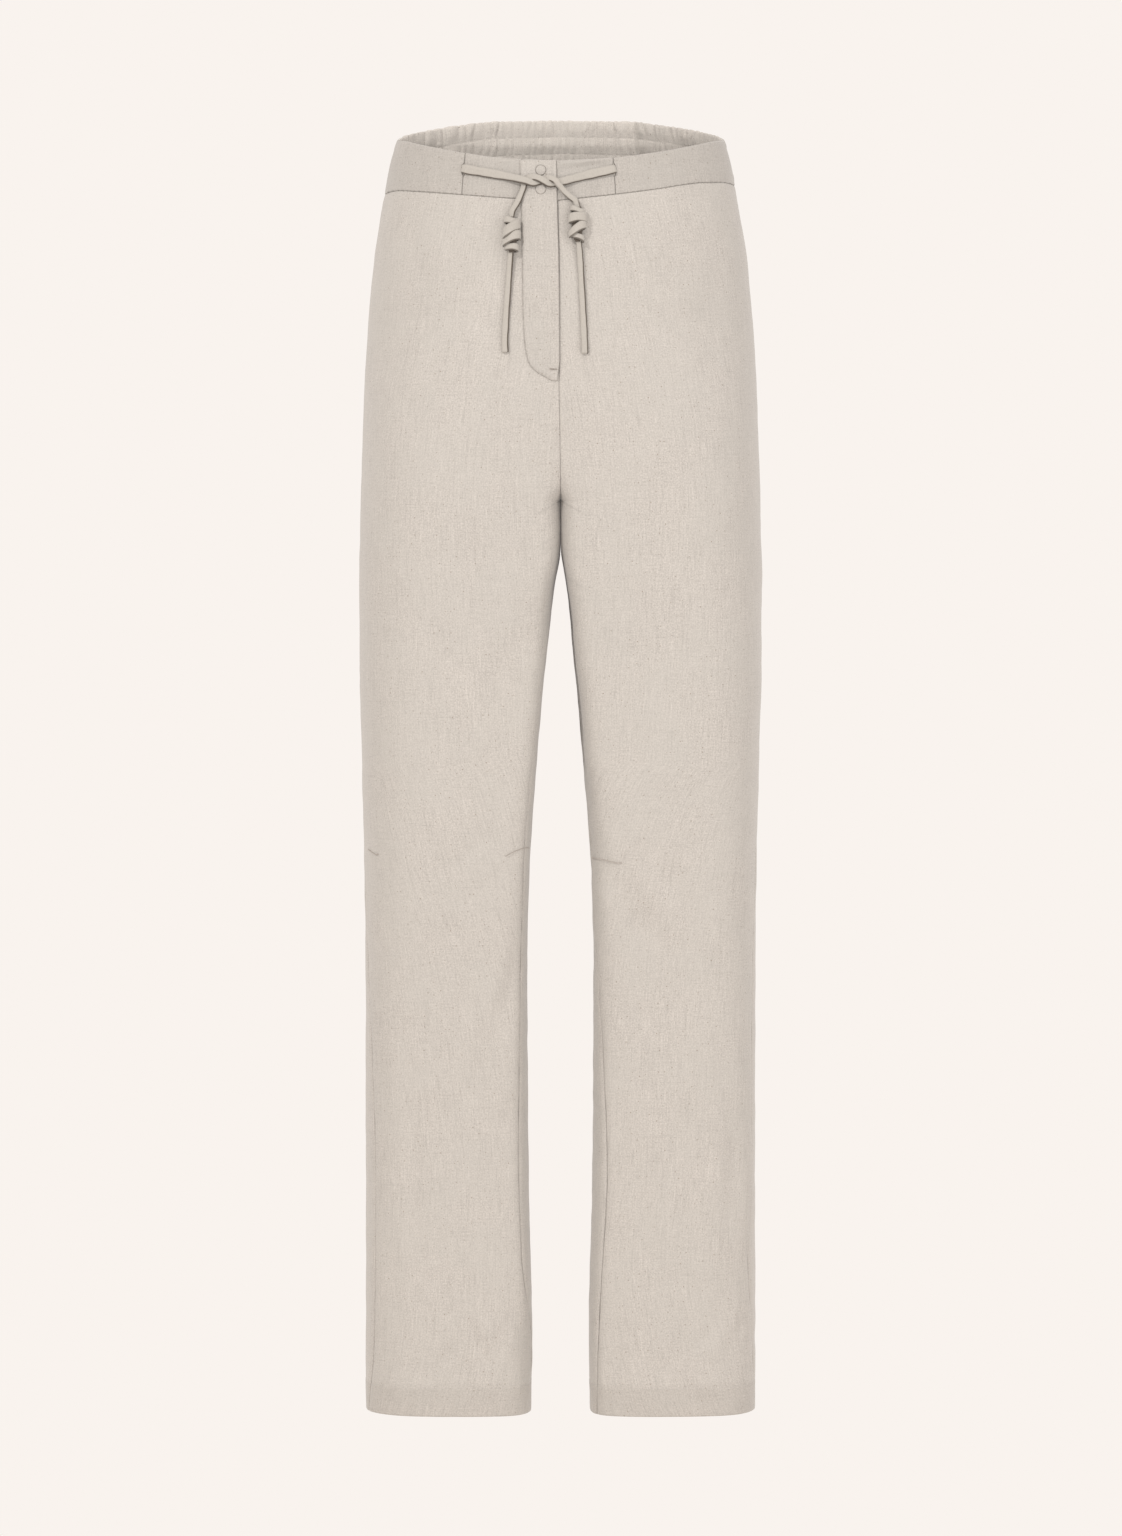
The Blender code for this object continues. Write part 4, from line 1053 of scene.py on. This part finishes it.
def cloth_material(name, colour, contrast=1.0, relief=1.0, specks=True, inside=False, hem=False, painted_shade=0.0):
    """A soft heathered plain weave: uneven yarns, slubs, slow clouds of tone and a few dark neps."""
    cloth = Cloth(name)
    warp = cloth.grain(1150, 80, 1.3, 2.0, 0.6)
    weft = cloth.grain(85, 1150, 7.9, 2.0, 0.6)
    heather = cloth.grain(820, 760, 3.1, 2.0, 0.7)
    slub = cloth.spread(cloth.grain(520, 26, 11.0, 1.0), 0.58, 0.74)
    slub_across = cloth.spread(cloth.grain(24, 560, 17.0, 1.0), 0.58, 0.74)
    light_slub = cloth.spread(cloth.grain(480, 30, 41.0, 1.0), 0.60, 0.76)
    cloud = cloth.grain(34, 15, 5.0, 3.0)
    tone = cloth.weighed((warp, 0.27), (weft, 0.19), (heather, 0.72), (slub, -0.07), (slub_across, -0.04),
                         (light_slub, 0.06), (cloud, 0.06))
    mixed = cloth.mix(cloth.spread(tone, 0.38, 0.84), times(colour, 1 - 0.24 * contrast),
                      times(colour, 1 + 0.20 * contrast))
    hue = cloth.spread(cloth.grain(21, 17, 23.0), 0.35, 0.65)
    mixed = cloth.mix(cloth.weighed((hue, 0.30)), mixed, times(colour, 0.98, 1, 1))
    if hem:
        # painted shade: the hem's doubled cloth is darkened, as it lets less light through
        down = cloth.node("SeparateXYZ", {"Vector": cloth.coords}, 1)
        double = cloth.spread(down, (HEM_STITCH - 0.6) * MM, (HEM_STITCH + 0.6) * MM)
        mixed = cloth.mix(double, mixed, cloth.mix(1.0, mixed, (0.93, 0.925, 0.92), "MULTIPLY"))
    if painted_shade:
        # painted shade: the marked seams, edges, slot mouths, tape flanks and cap rims, and the fly's stitches,
        # darken towards a deep brown
        mixed = cloth.mix(cloth.weighed((cloth.marked("painted_shade"), painted_shade)), mixed, times(colour, 0.14, 0.11, 0.085))
    if inside:
        # painted light: the marked inner face is made lighter, standing in for light that reaches into the waist
        mixed = cloth.mix(cloth.marked("inside"), mixed, cloth.mix(1.0, mixed, (1.36, 1.36, 1.36), "MULTIPLY"))
    if specks:
        nep = cloth.spread(cloth.grain(640, 560, 31.0, 0.0), 0.845, 0.875)
        mixed = cloth.mix(cloth.weighed((nep, 0.75)), mixed, times(colour, 0.50, 0.44, 0.38))
    height = cloth.weighed((warp, 0.5), (weft, 0.5), (heather, 0.7), (slub, 0.35))
    bump = cloth.node("Bump", {"Height": height, "Strength": 0.55 * relief, "Distance": 0.00022})
    cloth.tree.links.new(mixed, cloth.shader.inputs["Base Color"])
    cloth.tree.links.new(bump, cloth.shader.inputs["Normal"])
    set_inputs(cloth.shader, {"Roughness": 0.92, "Specular IOR Level": 0.18, "Sheen Weight": 0.30,
                              "Sheen Roughness": 0.5})
    return cloth.material


# ---- the scene

def add_camera():
    pitch = math.radians(CAMERA_PITCH)
    data = bpy.data.cameras.new("camera")
    data.lens = LENS
    data.clip_end = 50
    thing = link("camera", data)
    back = Vector((0, -math.cos(pitch), math.sin(pitch))) * CAMERA_DISTANCE
    thing.location = (Vector(CAMERA_AIM) + back) * MM
    thing.rotation_euler = (pi / 2 - pitch, 0, 0)
    bpy.context.scene.camera = thing


def add_light(name, place, power, size, colour):
    data = bpy.data.lights.new(name, "AREA")
    data.energy = power
    data.size = size
    data.color = colour
    thing = link(name, data)
    thing.location = place
    thing.rotation_euler = (Vector(LIGHT_AIM) - Vector(place)).to_track_quat("-Z", "Y").to_euler()


def add_floor():
    """A round of floor below the hems, just out of the photograph's view."""
    turn = circle(96)
    points = stack([FLOOR_RADIUS * cos(turn), FLOOR_RADIUS * sin(turn), FLOOR_HEIGHT + 0 * turn], -1)
    mesh = bpy.data.meshes.new("floor")
    mesh.from_pydata(points.tolist(), [], [tuple(range(len(turn)))])
    material = bpy.data.materials.new("floor_pale")
    material.use_nodes = True
    set_inputs(material.node_tree.nodes["Principled BSDF"],
               {"Base Color": (*FLOOR_COLOUR, 1), "Roughness": 0.95, "Specular IOR Level": 0.1})
    mesh.materials.append(material)
    link("floor", mesh)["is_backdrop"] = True


def add_world():
    world = bpy.data.worlds.new("studio")
    world.use_nodes = True
    set_inputs(world.node_tree.nodes["Background"], {"Color": (*BACKDROP, 1), "Strength": 1.0})
    bpy.context.scene.world = world
    bpy.context.scene.view_settings.view_transform = "Standard"
    bpy.context.scene.view_settings.look = "None"


add_camera()
add_world()
for light in LIGHTS:
    add_light(*light)
add_floor()

cloth = cloth_material("cloth_heathered", CLOTH_COLOUR, hem=True, painted_shade=0.62)
band_cloth = cloth_material("cloth_band", times(CLOTH_COLOUR, 0.885), contrast=0.9, painted_shade=0.72)
fly_cloth = cloth_material("cloth_fly", times(CLOTH_COLOUR, 0.96), contrast=0.95, painted_shade=0.72)
casing_cloth = cloth_material("cloth_casing", times(CLOTH_COLOUR, 0.94), contrast=0.9, inside=True)
tape_weave = cloth_material("cord_tape", TAPE_COLOUR, contrast=0.35, relief=0.6, specks=False, painted_shade=0.9)
cap_cloth = cloth_material("cloth_cap", times(CLOTH_COLOUR, 0.94), contrast=0.7, relief=0.7, specks=False,
                           painted_shade=0.8)
thread = cloth_material("thread", THREAD_COLOUR, contrast=0.5, relief=0.5, specks=False)

# The drawstring first: two tapes, each from its slot through a knot to a cut end
for side, cord, tail, knot in ((RIGHT, "cord_right", "tail_left", "knot_left"),
                               (LEFT, "cord_left", "tail_right", "knot_right")):
    line, facing, width, thickness = cord_line(SLOT_ENTRY[side], CORD_ROUTES[cord], CORD_ROUTES[tail])
    things = build_knot(knot, tape_weave)
    string = tape("drawstring_" + cord[5:], line, facing, width, thickness, tape_weave, 1 + side,
                  nodes=[cord, tail])

for side in (RIGHT, LEFT):
    build_panel(side, FRONT, cloth, 2.6)
    build_panel(side, BACK, cloth, 2.1)

slot_right, slot_left = (front_bearing(*SLOTS[side][:2]) for side in (RIGHT, LEFT))
underlap = front_bearing(*UNDERLAP)
build_front_band("band_front_right", -90, slot_right, RIGHT, False, band_cloth, 81)
build_front_band("band_inner_right", slot_right, underlap, RIGHT, True, band_cloth, 82)
build_front_band("band_inner_left", underlap, slot_left, LEFT, False, band_cloth, 83)
build_front_band("band_front_left", slot_left, 90, LEFT, True, band_cloth, 84)
build_back_band("band_back", casing_cloth)
build_placket("fly_placket", fly_cloth)
for name, place in SNAPS.items():
    build_snap(name, *place, cap_cloth)

# Sewing: the darts' seams at the knees, and the bar at the fly's foot
for name, places in DARTS.items():
    threads(name, places, -0.15, 1.5, 1.45, 0.34, 0.05, 0.03, 5, thread)
threads("bartack", BARTACK, 1.75, 0.62, 0.6, 0.55, 0.0, 0.02, 6, thread)

{"cad": array(cad_box).tolist(), "visual": array(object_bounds()).tolist()}
